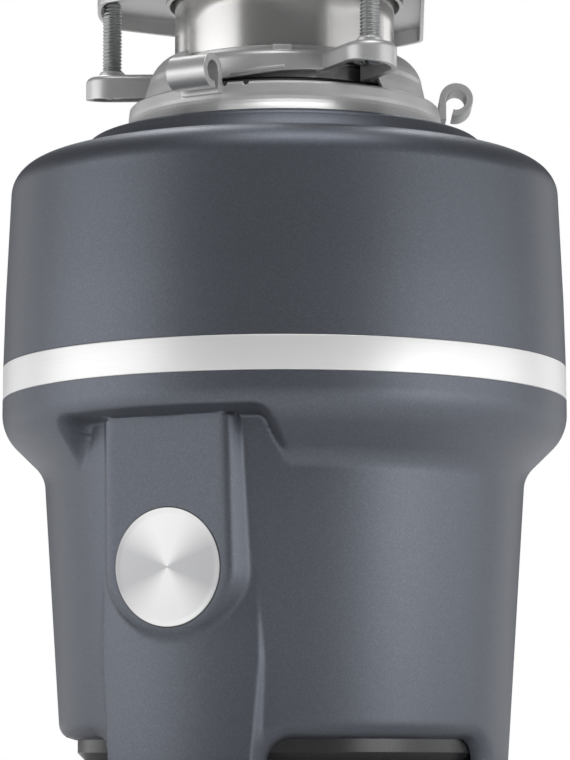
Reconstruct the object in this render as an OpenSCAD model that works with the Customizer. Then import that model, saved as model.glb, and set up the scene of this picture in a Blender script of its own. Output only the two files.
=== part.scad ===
// Kitchen garbage disposal, hung from its sink flange.
// Millimetres, +Z up. The origin is the centre of the standing face and the badge faces -Y.
// Places round the axis are given as azimuths: 0 is the badge side, and they grow towards +X.

/* [Casing] */
// Height of the sink's underside above the standing face
sink_h = 311; // [309:0.5:312]
// Largest radius of the casing, at the bulge under the trim band
bulge_r = 111.35; // [111:0.05:111.8]
// Radius of the upper shell just above the trim band
shell_r = 111.1; // [110.8:0.1:111.3]
// Wall of the two casing mouldings
wall = 3; // [2.4:0.2:3.2]
// Lower edge of the trim band
band_z = 144.4; // [143:0.2:146]
// Height of the trim band
band_h = 13.3; // [11:0.1:14]
// Thickness of the trim band
band_t = 0.8; // [0.6:0.1:0.9]

/* [Front panel] */
// Half the width of the pocket sunk into the shoulder
pocket_half_w = 45.5; // [42:0.5:48]
// Height of the pocket's ceiling
pocket_top_z = 137; // [135:0.5:138]
// Corner radius of the pocket
pocket_corner_r = 12; // [9:0.5:14]
// Half the width of the flat tongue that carries the badge
tongue_half_w = 24.5; // [23.5:0.5:26]
// Lean of the tongue's face from upright
tongue_lean = 2.4; // [1.5:0.1:3]
// Radius of the badge disc
badge_r = 22.4; // [20:0.2:22.6]
// Height of the badge's centre
badge_z = 80; // [78:0.5:82]

/* [Feet] */
// Half the width of each notch between the legs
notch_half_w = 47.3; // [44:0.1:48]
// Height of each notch
notch_h = 12; // [10:0.5:13]
// Radius of the front leg's face
front_leg_r = 91.5; // [90.5:0.1:92]
// Radius of the two rear legs' faces
rear_leg_r = 88.3; // [88:0.1:89]

/* [Quick-lock mount] */
// Outer radius of the sink flange's neck
neck_r = 44; // [43.6:0.1:44.2]
// Radius of the circle that the three mounting screws stand on
screw_circle_r = 69.3; // [68.5:0.1:70]
// Radius of a mounting screw
screw_r = 3.9; // [3.85:0.01:3.92]
// Top face of the upper mounting ring
ring_top_z = 277; // [276.5:0.1:277.4]
// Outer radius of the upper mounting ring's skirt
skirt_r = 52; // [51.6:0.1:52.2]
// Outer radius of the lower mounting ring's wall
lock_r = 62.4; // [62:0.1:62.6]
// Outer radius of the rolled lugs
lug_r = 6.7; // [6.5:0.1:6.8]
// Length of the rolled lugs
lug_len = 17; // [15:0.5:18]

/* [Discharge outlet] */
// Height of the outlet's axis
outlet_z = 157; // [156:0.5:158]
// Bore radius of the outlet
outlet_r = 19; // [18:0.5:20]
// Distance between the outlet's two screw holes
outlet_pitch = 66; // [62:1:68]

/* [Grinding chamber] */
// Inner radius of the grinding chamber
chamber_r = 70; // [69.5:0.1:70.2]
// Radius of the turntable
turntable_r = 65; // [63:0.5:65.5]
// Distance of each impeller's pivot from the axis
pivot_r = 36; // [35:0.5:37]
// Number of cutting slots in the shredder ring
slot_count = 24; // [18:1:30]

/* [Motor] */
// Radius of the shaft
shaft_r = 6.35; // [6:0.05:6.5]
// Radius of the stator core
stator_r = 66; // [64:0.5:66]
// Radius of the rotor core
rotor_r = 34.5; // [32:0.5:34.8]
// Number of stator slots
stator_slots = 24; // [18:6:30]

/* [Hidden] */
$fn = 96;
eps = 0.01;
fit = 0.05;
gap = 0.3;

// Colours of the finishes
shell_paint = [0.33, 0.35, 0.40];
bright_steel = [0.80, 0.80, 0.80];
zinc_cast = [0.74, 0.74, 0.75];
dark_moulding = [0.13, 0.13, 0.14];
cast_metal = [0.62, 0.63, 0.64];
black_rubber = [0.05, 0.05, 0.05];
copper_wire = [0.65, 0.32, 0.14];
lamination = [0.42, 0.42, 0.43];

// Casing
seam_z = band_z + band_h / 2;
groove_r = shell_r - band_t - 0.1;
side_top_z = 184.4;
side_draw = 0.7;
shoulder_r = 96.5;
shoulder_z = 225.8;
shoulder_a = 12.2;
shoulder_b = 12.3;
crease_r = 82;
crease_z = 239.6;
cap_foot_r = 79.6;
cap_foot_z = 242.5;
cap_r = 76.2;
cap_arc = 3;
cap_top_z = 248;
casing_hole_r = 52;
bulge_z = 139;
bulge_arc = 18;
waist_arc = 13;
waist_r = bulge_r - 4.15;
waist_z = 109.2;
taper_angle = 3.8;
foot_r = 82;
foot_arc = 6.1;
foot_z = 17.5;
notch_corner_r = 9;
floor_slope = tan(taper_angle);

// Back opening for the outlet
opening_half_w = outlet_pitch / 2 + 14;
opening_half_h = 27;
opening_corner_r = 10;
band_end_az = 180 - asin((opening_half_w + 0.5) / shell_r);

// Front panel
tongue_y = 95.2;
tongue_draft = 35;
tongue_depth = 10;
badge_t = 1.6;
badge_recess = 1.3;
leg_azimuths = [0, 117.5, 242.5];
notch_azimuths = [-55, 55, 180];

// Chamber's top flange and the rubber seal on it
flange_r = 54.7;
flange_z = 259;
container_top_z = 260.6;
gasket_top_z = 266.3;

// Lower mounting ring
lock_wall = 2;
lip_z = 257;
lip_top_z = 258.6;
wall_z = 257.5;
flare_arc = 12;
flare_angle = 36;
slot_z = 262;
ear_azimuths = [-30, 90, 210];
ear_t = 1.6;
ear_foot_r = 56.8;
ear_r = 44.3;
ear_z = 270.2;
ear_a = 11;
ear_b = 11.5;
ear_tip_angle = 22.5;
ear_tip_z = 267.4;
lug_azimuths = [-3.4, 116.6, 236.6];
lug_centre_r = 68.4;
lug_centre_z = 265.4;
lug_wall = 2.7;
lug_turn = 286;
relief_angles = [-10.4, 8.5, 16.5];
relief_r = 1.2;
relief_z = 261.6;

// Upper mounting ring
skirt_z = 266;
skirt_wall = 2.4;
skirt_arc = 3;
collar_r = neck_r + 3.2;
collar_z = 279;
lobe_azimuths = [-65, 55, 175];
lobe_top_z = ring_top_z - 1;
lobe_r = 10.4;
lobe_wall = 2.2;
boss_top_z = 278.6;
track_angle = -40;
track_span = 24;
track_z = 268.4;
track_rise = 1.85;
track_proud = 1;
track_h = 1.1;
stop_angle = -29;
stop_w = 7;

// Backup flange and sink flange
fibre_t = 1.5;
plate_t = 2;
plate_z = sink_h - fibre_t - plate_t;
plate_wall = 1.5;
plate_r = 75.1;
plate_flat = 56;
plate_corner_r = 9;
plate_corner_angle = 60 - acos((plate_flat - plate_corner_r) / (plate_r - plate_corner_r));
plate_lip_r = 47.6;
skirt_drop = 5.8;
screw_foot_z = 268;
screw_top_z = plate_z - gap;
neck_wall = 2;
rim_r = 57;
rim_z = sink_h + 6.2;

// Inside
chamber_z = 180.2;
flange_screw_r = 76;
bell_top_z = 178;
stator_z = 38;
stator_h = 60;
base_z = 4;
base_r = 80.8;
bolt_circle_r = 70;
inlet_az = 225;
inlet_z = 213;
inlet_r = 11.1;
inlet_end_r = 132;
inlet_bore_r = 8.6;
grommet_top = 112;
compartment = [-66, -34, -24, 34];
hatch = [-62, -30, -28, 6];
cable_hole = [-45, 20];
cable_hole_r = 11.1;
button_at = [34, -32];
button_r = 5;
turntable_z = 184;
turntable_t = 3;
lug_plate_z = turntable_z + turntable_t + gap;
lug_plate_t = 4;

// Points along part of an ellipse, from angle t0 to t1
function ellipse_arc(r, z, a, b, t0, t1, n) =
    [for (i = [0:n]) [r + a * cos(t0 + (t1 - t0) * i / n), z + b * sin(t0 + (t1 - t0) * i / n)]];

// Points along part of a circle
function round_arc(r, z, a, t0, t1, n) = ellipse_arc(r, z, a, a, t0, t1, n);

// A list in the opposite order
function backwards(points) = [for (i = [len(points) - 1:-1:0]) points[i]];

// Radius of the tapered lower body, carried on upwards as the pocket's floor
function floor_at(z) = foot_r + foot_arc + (z - foot_z) * floor_slope;

// Rounded edge of the upper shell's cap, a plain corner where the wall is as thick as the rounding
function cap_edge(d) = d < cap_arc - 0.2
    ? round_arc(cap_r, cap_top_z - cap_arc, cap_arc - d, 5, 90, 5)
    : [[cap_r, cap_top_z - d]];

// Upper shell from its lower edge over the shoulder, the crease and the cap, moved inwards by d.
// The two corners at the crease move along the lines that halve them.
function upper_outline(d) = concat(
    [[shell_r - d, band_z + band_h], [shell_r - side_draw - d, side_top_z]],
    ellipse_arc(shoulder_r, shoulder_z, shoulder_a - d, shoulder_b - d, 0, 84, 12),
    [[crease_r - 0.51 * d, crease_z - 0.95 * d], [cap_foot_r - 0.95 * d, cap_foot_z - 0.42 * d]],
    cap_edge(d),
    [[casing_hole_r, cap_top_z - d]]
);

// Lower body from the trim band to the rounded lip above the notches, moved inwards by d
function lower_outline(d) = concat(
    [[bulge_r - d, band_z]],
    round_arc(bulge_r - bulge_arc, bulge_z, bulge_arc - d, 0, -45, 8),
    round_arc(waist_r, waist_z, waist_arc + d, 135, 180 - taper_angle, 7),
    round_arc(foot_r, foot_z, foot_arc - d, 0, -90, 6)
);

module revolve(points, turn = 360) {
    rotate_extrude(angle = turn) polygon(points);
}

module at_az(a) {
    rotate([0, 0, a]) children();
}

// Ring between two radii
module ring(r_in, r_out, z, h) {
    translate([0, 0, z]) difference() {
        cylinder(r = r_out, h = h);
        translate([0, 0, -1]) cylinder(r = r_in, h = h + 2);
    }
}

// Cylinder lying along -Y
module forward_cylinder(r, h) {
    rotate([90, 0, 0]) cylinder(r = r, h = h);
}

module rounded_rectangle(half_w, half_h, r) {
    square([2 * (half_w - r), 2 * half_h], center = true);
    square([2 * half_w, 2 * (half_h - r)], center = true);
    for (sx = [-1, 1], sy = [-1, 1])
        translate([sx * (half_w - r), sy * (half_h - r)]) circle(r);
}

// Rounded block that opens the casing and the band for the outlet
module outlet_opening() {
    translate([0, 130, outlet_z]) rotate([90, 0, 0])
        linear_extrude(60) rounded_rectangle(opening_half_w, opening_half_h, opening_corner_r);
}

// Cylinder on the dishwasher inlet's axis, between two distances from the shaft
module inlet_cylinder(r, from, to) {
    at_az(inlet_az) translate([0, -from, inlet_z]) forward_cylinder(r, to - from);
}

module inlet_hole(r) {
    inlet_cylinder(r, 60, 130);
}

// The six screws that hold the chamber on the bell
module at_flange_screws() {
    for (a = [15:60:345]) at_az(a) translate([0, -flange_screw_r, 0]) children();
}

// The four bolts that clamp the stator
module at_through_bolts() {
    for (a = [45:90:315]) at_az(a) translate([0, -bolt_circle_r, 0]) children();
}

// ---- Casing

module upper_housing() {
    color(shell_paint) difference() {
        revolve(concat(
            [[groove_r, seam_z + 0.1], [groove_r, band_z + band_h]],
            upper_outline(0),
            backwards(upper_outline(wall)),
            [[shell_r - wall, seam_z + 0.1]]
        ));
        outlet_opening();
        inlet_hole(15.2);
    }
}

// Rounded rectangle sunk through the shoulder down to the tapered body, grown by g
module pocket_void(g) {
    difference() {
        translate([0, -70, 0]) rotate([90, 0, 0]) linear_extrude(60) {
            translate([0, pocket_top_z + g - 60])
                rounded_rectangle(pocket_half_w + g, 60, pocket_corner_r + g);
        }
        revolve([[0, 0], [floor_at(0) - g, 0], [floor_at(150) - g, 150], [0, 150]]);
    }
}

// Flat raised tongue with drafted sides and a round lower end
module tongue() {
    flare = tongue_depth * tan(tongue_draft);
    translate([0, -tongue_y, badge_z]) rotate([tongue_lean, 0, 0]) {
        linear_extrude(pocket_top_z - badge_z + 1) polygon([
            [-tongue_half_w, 0], [tongue_half_w, 0],
            [tongue_half_w + flare, tongue_depth], [-tongue_half_w - flare, tongue_depth]
        ]);
        rotate([-90, 0, 0]) cylinder(r1 = tongue_half_w, r2 = tongue_half_w + flare, h = tongue_depth);
    }
}

// Space on the inner side of the front leg's bevelled flank, which leans outwards as it rises
module leg_flank() {
    half_w = 28.2;
    lean = 5.9;
    bevel = 30;
    translate([half_w, -sqrt(front_leg_r * front_leg_r - half_w * half_w), 0])
        rotate([0, lean, 0]) rotate([0, 0, -bevel]) translate([-200, -50, -20]) cube([200, 200, 110]);
}

// Face of the front leg between its two flanks
module front_leg() {
    intersection() {
        cylinder(r = front_leg_r, h = 70);
        leg_flank();
        mirror([1, 0, 0]) leg_flank();
    }
}

// Notch between two legs, round at its upper corners, with the body's rounded lip left above it
module leg_notches() {
    for (a = notch_azimuths) at_az(a) {
        translate([0, -60, notch_h - 30]) rotate([90, 0, 0])
            linear_extrude(50) rounded_rectangle(notch_half_w, 30, notch_corner_r);
        difference() {
            translate([notch_corner_r - notch_half_w, -100, -1])
                cube([2 * (notch_half_w - notch_corner_r), 50, foot_z + 2]);
            revolve(concat([[0, 40], [floor_at(40), 40]], round_arc(foot_r, foot_z, foot_arc, 0, -90, 6),
                [[0, foot_z - foot_arc]]));
        }
    }
}

// Tab inside a leg that the housing screw passes through
module leg_tabs() {
    for (a = leg_azimuths) at_az(a) difference() {
        translate([-9, -84, 1.8]) cube([18, 14, base_z - 2]);
        translate([0, -75, 0]) cylinder(r = 2.3, h = 6);
    }
}

module lower_housing() {
    color(shell_paint) difference() {
        union() {
            difference() {
                revolve(concat(
                    [[0, seam_z - 0.1], [groove_r, seam_z - 0.1], [groove_r, band_z]],
                    lower_outline(0),
                    [[0, foot_z - foot_arc]]
                ));
                pocket_void(0);
            }
            intersection() {
                tongue();
                cylinder(r = 105, h = pocket_top_z + 1);
            }
            difference() {
                union() {
                    ring(foot_r, rear_leg_r, 0, foot_z);
                    front_leg();
                }
                leg_notches();
            }
        }
        difference() {
            revolve(concat(
                [[0, 160], [groove_r - wall, 160], [groove_r - wall, band_z]],
                lower_outline(wall),
                [[0, foot_z - foot_arc + wall]]
            ));
            pocket_void(wall);
        }
        translate([0, 0, -1]) cylinder(r = foot_r, h = foot_z);
        badge_seat(badge_r + gap, badge_recess, 5);
        outlet_opening();
    }
    color(shell_paint) leg_tabs();
}

// Disc on the tongue's face, t deep into it and p proud of it
module badge_seat(r, t, p) {
    translate([0, -tongue_y, badge_z]) rotate([tongue_lean, 0, 0])
        translate([0, t, 0]) forward_cylinder(r, t + p);
}

module trim_band() {
    color(bright_steel) rotate([0, 0, -90 - band_end_az]) rotate_extrude(angle = 2 * band_end_az)
        translate([shell_r - band_t, band_z + 0.1]) square([band_t + 0.1, band_h - 0.2]);
}

module badge_plate() {
    edge = 0.3;
    color(bright_steel) translate([0, -tongue_y, badge_z]) rotate([tongue_lean, 0, 0])
        translate([0, badge_recess, 0]) rotate([90, 0, 0]) {
            cylinder(r = badge_r, h = badge_t - edge);
            translate([0, 0, badge_t - edge]) cylinder(r1 = badge_r, r2 = badge_r - 0.5, h = edge);
        }
}

module housing_screws() {
    color(zinc_cast) for (a = leg_azimuths) at_az(a) translate([0, -75, 0]) {
        translate([0, 0, 0.4]) cylinder(r = 3.8, h = 1.4);
        translate([0, 0, 1.8]) cylinder(r = 2, h = 9);
    }
}

module sound_insulation() {
    inner_r = chamber_r + 3.5;
    color([0.25, 0.25, 0.27]) difference() {
        revolve(concat(
            [[inner_r, 184], [shell_r - 8, 184]],
            ellipse_arc(shoulder_r, shoulder_z, shoulder_a - 7, 7, 0, 90, 6),
            [[inner_r, shoulder_z + 7]]
        ));
        inlet_hole(17);
    }
}

// ---- Grinding chamber

// Pressed steel chamber, its shoulder drawn in to the neck and its two flanges
module grind_container() {
    t = 1.5;
    neck = 48;
    bend_z = 232;
    bend_h = 12;
    color(bright_steel) difference() {
        revolve(concat(
            [[80, chamber_z - 2], [80, chamber_z], [chamber_r + t, chamber_z]],
            ellipse_arc(neck, bend_z, chamber_r + t - neck, bend_h, 0, 90, 8),
            [[neck, flange_z], [flange_r, flange_z], [flange_r, container_top_z],
             [neck - t, container_top_z]],
            backwards(ellipse_arc(neck - t, bend_z, chamber_r - neck + t, bend_h - t, 0, 90, 8)),
            [[chamber_r, chamber_z - 2]]
        ));
        inlet_hole(inlet_r + 0.1);
        at_flange_screws() translate([0, 0, 170]) cylinder(r = 2.1, h = 20);
    }
}

module container_screws() {
    color(zinc_cast) at_flange_screws() {
        translate([0, 0, 166]) cylinder(r = 2, h = 15);
        translate([0, 0, chamber_z]) cylinder(r = 3.6, h = 2.4);
    }
}

// Stationary ring with cutting slots and undercut teeth
module shredder_ring() {
    z0 = 181;
    h = 23;
    slot_h = 10;
    color(bright_steel) difference() {
        ring(turntable_r + 1.3, chamber_r - 0.2, z0, h);
        for (i = [0:slot_count - 1]) at_az(i * 360 / slot_count) {
            translate([-1.6, -chamber_r, z0 - 1]) cube([3.2, 10, slot_h + 1]);
            rotate([0, 0, 180 / slot_count]) translate([0, -turntable_r - 0.4, z0 + slot_h + 2])
                rotate([0, 0, 20]) cube([4, 2.4, h]);
        }
    }
}

// Rotating disc with drain holes and two raised pads
module turntable() {
    color(bright_steel) difference() {
        union() {
            translate([0, 0, turntable_z]) cylinder(r = turntable_r, h = turntable_t);
            ring(turntable_r - 3, turntable_r, turntable_z - 3, 4);
            for (a = [0, 180]) at_az(a) translate([0, -52, turntable_z - 2.5])
                cylinder(r1 = 7, r2 = 9, h = 3);
        }
        translate([0, 0, 170]) cylinder(r = 5.02, h = 30);
        for (a = [90, 270]) at_az(a) translate([0, -pivot_r, 170]) cylinder(r = 4.05, h = 30);
        for (i = [0:11]) at_az(15 + 30 * i) translate([0, -54, 170]) cylinder(r = 2.4, h = 30);
    }
}

// Swivelling hammer, its heavy end outwards from the pivot
module impeller(a) {
    at_az(a) difference() {
        union() {
            translate([0, -pivot_r, lug_plate_z]) cylinder(r = 9.5, h = lug_plate_t);
            translate([-7.5, -pivot_r - 24, lug_plate_z]) cube([15, 24, lug_plate_t]);
            intersection() {
                translate([-7.5, -pivot_r - 26, lug_plate_z]) cube([15, 9, 15]);
                translate([0, -pivot_r, 0]) cylinder(r = 25, h = 300);
            }
        }
        translate([0, -pivot_r, 170]) cylinder(r = 4.05, h = 60);
    }
}

module impeller_a() {
    color(bright_steel) impeller(90);
}

module impeller_b() {
    color(bright_steel) impeller(270);
}

// Rivets that the hammers swivel on
module impeller_rivets() {
    top = lug_plate_z + lug_plate_t + gap;
    color(zinc_cast) for (a = [90, 270]) at_az(a) translate([0, -pivot_r, 0]) {
        translate([0, 0, turntable_z - 2]) cylinder(r = 6.5, h = 2);
        translate([0, 0, turntable_z]) cylinder(r = 4, h = top - turntable_z);
        translate([0, 0, top]) cylinder(r1 = 6.5, r2 = 5, h = 2);
    }
}

// Nut and washer that hold the turntable on the shaft's threaded end
module turntable_bolt() {
    top = turntable_z + turntable_t;
    color(zinc_cast) difference() {
        union() {
            translate([0, 0, top]) cylinder(r = 8, h = 1.2);
            translate([0, 0, top + 1.2]) cylinder(r = 7.2, h = 6, $fn = 6);
            translate([0, 0, top + 7]) cylinder(r1 = 5.4, r2 = 3, h = 3);
        }
        translate([0, 0, top - 1]) cylinder(r = 5.02, h = 7);
    }
}

// ---- Motor and outlet

// Face of the outlet: a round pipe end between two screw ears
module outlet_flange_shape(grow) {
    circle(r = outlet_r + 6 + grow);
    square([outlet_pitch, 17 + 2 * grow], center = true);
    for (s = [-1, 1]) translate([s * outlet_pitch / 2, 0]) circle(r = 8.5 + grow);
}

// Cast bell: carries the upper bearing and the stator, forms the sump and the outlet
module upper_end_bell() {
    face_y = bulge_r;
    color(cast_metal) difference() {
        union() {
            revolve([
                [0, 106], [66.4, 106], [66.4, 92], [69, 92], [72, 104], [77, 108], [78, 128],
                [76, 166], [81, 172], [81, bell_top_z], [70, bell_top_z], [70, 168], [72, 132],
                [68, 124], [30, 118], [17, 134], [15, 160], [0, 160]
            ]);
            translate([0, 60, outlet_z]) rotate([-90, 0, 0]) cylinder(r = outlet_r + 2, h = face_y - 60);
            translate([0, face_y, outlet_z]) rotate([90, 0, 0])
                linear_extrude(9) outlet_flange_shape(0);
            for (s = [-1, 1]) translate([s * outlet_pitch / 2, 62, outlet_z]) rotate([-90, 0, 0])
                cylinder(r = 6, h = face_y - 64);
            at_through_bolts() translate([0, 0, 98]) cylinder(r = 6.5, h = 14);
        }
        intersection() {
            revolve([[0, 200], [0, 160], [15, 160], [17, 134], [30, 118], [68, 124], [72, 132],
                [70, 200]]);
            translate([0, 0, 117]) cylinder(r = 74, h = 70);
        }
        translate([0, 50, outlet_z]) rotate([-90, 0, 0]) cylinder(r = outlet_r, h = 70);
        for (s = [-1, 1]) translate([s * outlet_pitch / 2, face_y - 16, outlet_z]) rotate([-90, 0, 0])
            cylinder(r = 3.1, h = 20);
        translate([0, 0, 100]) cylinder(r = shaft_r + 0.6, h = 70);
        translate([0, 0, 100]) cylinder(r = 13.02, h = 22);
        translate([0, 0, 149]) cylinder(r = 12.02, h = 20);
        at_through_bolts() translate([0, 0, 90]) cylinder(r = 2.6, h = 26);
        at_flange_screws() translate([0, 0, 165.5]) cylinder(r = 2.1, h = 20);
        ring(stator_r + 3.4, 90, 90, 8);
    }
}

module shaft_seal() {
    color(black_rubber) difference() {
        translate([0, 0, 149]) cylinder(r = 12, h = 9);
        translate([0, 0, 140]) cylinder(r = shaft_r + fit, h = 30);
        ring(8.5, 10.5, 154, 6);
    }
}

module upper_bearing() {
    color([0.72, 0.55, 0.30]) ring(shaft_r + fit, 13, 108, 14);
}

module rotor_shaft() {
    color(bright_steel) difference() {
        union() {
            translate([0, 0, 16]) cylinder(r = shaft_r, h = turntable_z - 16);
            translate([0, 0, turntable_z - 8]) cylinder(r = 10, h = 8);
            translate([0, 0, turntable_z]) cylinder(r = 5, h = turntable_t + 5);
        }
        translate([0, 0, 15]) cylinder(r = 3.7, h = 13, $fn = 6);
    }
}

// Stack of laminations between two cast end rings with fan blades
module rotor_core() {
    color(lamination) {
        ring(shaft_r + eps, rotor_r, stator_z + 2, stator_h - 4);
        for (z = [stator_z - 4, stator_z + stator_h - 2]) ring(20, rotor_r - 1.5, z, 6);
        for (i = [0:7]) at_az(i * 45) {
            translate([-1, -30, stator_z - 8]) cube([2, 8, 4.5]);
            translate([-1, -30, stator_z + stator_h + 3.5]) cube([2, 8, 3.5]);
        }
    }
}

module stator_core() {
    color(lamination) difference() {
        ring(rotor_r + 0.6, stator_r, stator_z, stator_h);
        for (i = [0:stator_slots - 1]) at_az(i * 360 / stator_slots) {
            translate([-2.2, -54, stator_z - 1]) cube([4.4, 16, stator_h + 2]);
            translate([-1, -40, stator_z - 1]) cube([2, 8, stator_h + 2]);
        }
    }
}

// Rounded end turns above and below the core, joined by the bars in its slots
module stator_windings() {
    color(copper_wire) {
        for (z = [stator_z - 6.2, stator_z + stator_h + 3.2])
            revolve([[40, z - 3], [53, z - 3], [56, z], [56, z + 3], [38, z + 3], [38, z]]);
        for (i = [0:stator_slots - 1]) at_az(i * 360 / stator_slots)
            translate([-1.8, -53.4, stator_z - 5]) cube([3.6, 14.6, stator_h + 8]);
    }
}

module lower_bearing() {
    color([0.72, 0.55, 0.30]) ring(shaft_r + fit, 11, 17, 13);
}

// Shallow black end frame with the bearing hub, the stator seat and the wiring compartment
module lower_end_frame() {
    color(dark_moulding) difference() {
        union() {
            revolve([
                [0, base_z], [base_r - 3, base_z], [base_r, base_z + 3], [base_r, 28], [base_r - 2.5, 28],
                [base_r - 2.5, base_z + 5], [69.5, base_z + 5], [69.5, 46], [66.2, 46], [66.2, base_z + 5],
                [13.5, base_z + 5], [13.5, 30], [11.02, 30], [11.02, 16.5], [0, 16.5]
            ]);
            translate([compartment[0] - 2, compartment[1] - 2, base_z])
                cube([compartment[2] - compartment[0] + 4, compartment[3] - compartment[1] + 4, 21]);
            for (a = leg_azimuths) at_az(a) translate([0, -75, base_z]) cylinder(r = 5, h = 10);
            at_through_bolts() translate([0, 0, base_z]) cylinder(r = 6.5, h = 24);
        }
        translate([compartment[0], compartment[1], base_z + 2])
            cube([compartment[2] - compartment[0], compartment[3] - compartment[1], 17]);
        translate([hatch[0], hatch[1], 0]) cube([hatch[2] - hatch[0], hatch[3] - hatch[1], 10]);
        translate([cable_hole[0], cable_hole[1], 0]) cylinder(r = cable_hole_r, h = 8);
        translate([button_at[0], button_at[1], 0]) cylinder(r = button_r + fit, h = base_z + 6);
        cylinder(r = 7, h = 18);
        for (a = leg_azimuths) at_az(a) translate([0, -75, 0]) cylinder(r = 2.05, h = 11);
        at_through_bolts() {
            cylinder(r = 2.6, h = 50);
            cylinder(r = 5, h = base_z + 5);
        }
        translate([0, 0, stator_z - 0.05]) cylinder(r = stator_r + 0.05, h = 20);
        for (a = [0:60:300]) at_az(a) translate([-9, -72, 20]) cube([18, 8, 14]);
    }
}

// Four long bolts that clamp the stator between the end frames
module motor_through_bolts() {
    color(zinc_cast) at_through_bolts() {
        translate([0, 0, base_z + 1.5]) cylinder(r = 4.6, h = 3.5, $fn = 6);
        translate([0, 0, base_z + 5]) cylinder(r = 2.5, h = 104);
    }
}

// ---- Electrical pieces

module start_switch() {
    color(dark_moulding) difference() {
        union() {
            translate([15, 15, base_z + 5]) cube([30, 14, 12]);
            translate([20, 18, base_z + 17]) cube([20, 8, 3]);
        }
        translate([23, 22, base_z]) cylinder(r = 1.6, h = 30);
        translate([37, 22, base_z]) cylinder(r = 1.6, h = 30);
    }
}

// Flyweight collar on the shaft that works the start switch
module centrifugal_actuator() {
    color([0.55, 0.50, 0.42]) difference() {
        union() {
            ring(shaft_r + eps, 9.5, 30.5, 3);
            for (a = [0, 180]) at_az(a) translate([-3, -16, 30.5]) cube([6, 8, 2.5]);
        }
        translate([0, 0, 20]) cylinder(r = shaft_r + eps, h = 30);
    }
}

module overload_protector() {
    color(dark_moulding) difference() {
        translate([button_at[0] - 11, button_at[1] - 9, base_z + 5]) cube([22, 18, 16]);
        translate([button_at[0], button_at[1], 0]) cylinder(r = button_r + 1.2, h = base_z + 12);
    }
}

// Red button that pops out of the base when the motor overloads
module reset_button() {
    color([0.75, 0.05, 0.04]) translate([button_at[0], button_at[1], 0]) {
        translate([0, 0, 1]) cylinder(r = button_r, h = base_z + 5 - 1 + 0.3);
        translate([0, 0, base_z + 5.3]) cylinder(r = button_r + 0.9, h = 1.6);
    }
}

module terminal_cover() {
    color(dark_moulding) difference() {
        translate([hatch[0] + 0.4, hatch[1] + 0.4, base_z])
            cube([hatch[2] - hatch[0] - 0.8, hatch[3] - hatch[1] - 0.8, 2]);
        translate([(hatch[0] + hatch[2]) / 2, hatch[1] + 6, 0]) cylinder(r = 2.1, h = 10);
    }
}

module terminal_cover_screw() {
    color(zinc_cast) translate([(hatch[0] + hatch[2]) / 2, hatch[1] + 6, 0]) {
        translate([0, 0, base_z - 1.8]) cylinder(r = 3.8, h = 1.8);
        translate([0, 0, base_z]) cylinder(r = 2, h = 8);
    }
}

module ground_screw() {
    color([0.10, 0.45, 0.18]) translate([-32, 26, 0]) {
        translate([0, 0, base_z + 15.6]) cylinder(r = 4, h = 2.4, $fn = 6);
        translate([0, 0, base_z + 18]) cylinder(r = 1.9, h = 1);
    }
}

// ---- Dishwasher inlet

// Pipe with a saddle on the chamber's wall, a thicker stretch in the casing and the spigot outside it
module dishwasher_inlet() {
    start = chamber_r + 0.3;
    color(black_rubber) difference() {
        union() {
            inlet_cylinder(inlet_r, start, inlet_end_r);
            inlet_cylinder(inlet_r + 0.5, start + 3, grommet_top + 0.3);
            inlet_cylinder(15.5, start, start + 3.2);
        }
        inlet_cylinder(inlet_bore_r, 60, 140);
        difference() {
            cylinder(r = chamber_r + 1.55, h = 300);
            inlet_cylinder(inlet_r, 60, 80);
        }
        cylinder(r = chamber_r, h = 300);
    }
}

module inlet_grommet() {
    color(black_rubber) difference() {
        union() {
            inlet_cylinder(15.15, 104, grommet_top);
            inlet_cylinder(16.5, 110.1, grommet_top);
        }
        inlet_cylinder(inlet_r + 0.5 + eps, 100, 120);
    }
}

// Blank that is knocked out when a dishwasher is connected
module inlet_plug() {
    color(black_rubber) inlet_cylinder(inlet_bore_r - eps, chamber_r + 6, chamber_r + 7.6);
}

// ---- Quick-lock mount

// Rubber seal on the container's flange, with splash flaps across the throat
module mounting_gasket() {
    color(black_rubber) difference() {
        revolve([
            [14, 262], [38, 262.4], [42, container_top_z], [flange_r, container_top_z], [flange_r, 262.4],
            [flange_r - 1.5, 264.4], [49, 265.4], [47.5, gasket_top_z], [42, gasket_top_z],
            [38, 264.2], [14, 263.6]
        ]);
        for (i = [0:7]) at_az(22.5 + 45 * i) translate([-0.4, -36, 255]) cube([0.8, 30, 20]);
    }
}

// Wall all round, with the foot flared out below and the lip that carries the chamber's flange
module lock_wall_ring() {
    inner_r = lock_r - lock_wall;
    flare_r = lock_r + flare_arc;
    revolve(concat(
        [[casing_hole_r + 1, lip_z], [inner_r, lip_z]],
        round_arc(flare_r, wall_z, flare_arc + lock_wall, 184, 180 + flare_angle, 4),
        backwards(round_arc(flare_r, wall_z, flare_arc, 180, 180 + flare_angle, 5)),
        [[lock_r - 0.4, slot_z - 0.8], [lock_r - 1.2, slot_z], [inner_r - 0.3, slot_z],
         [inner_r, lip_top_z], [casing_hole_r + 1, lip_top_z]]
    ));
}

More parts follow.
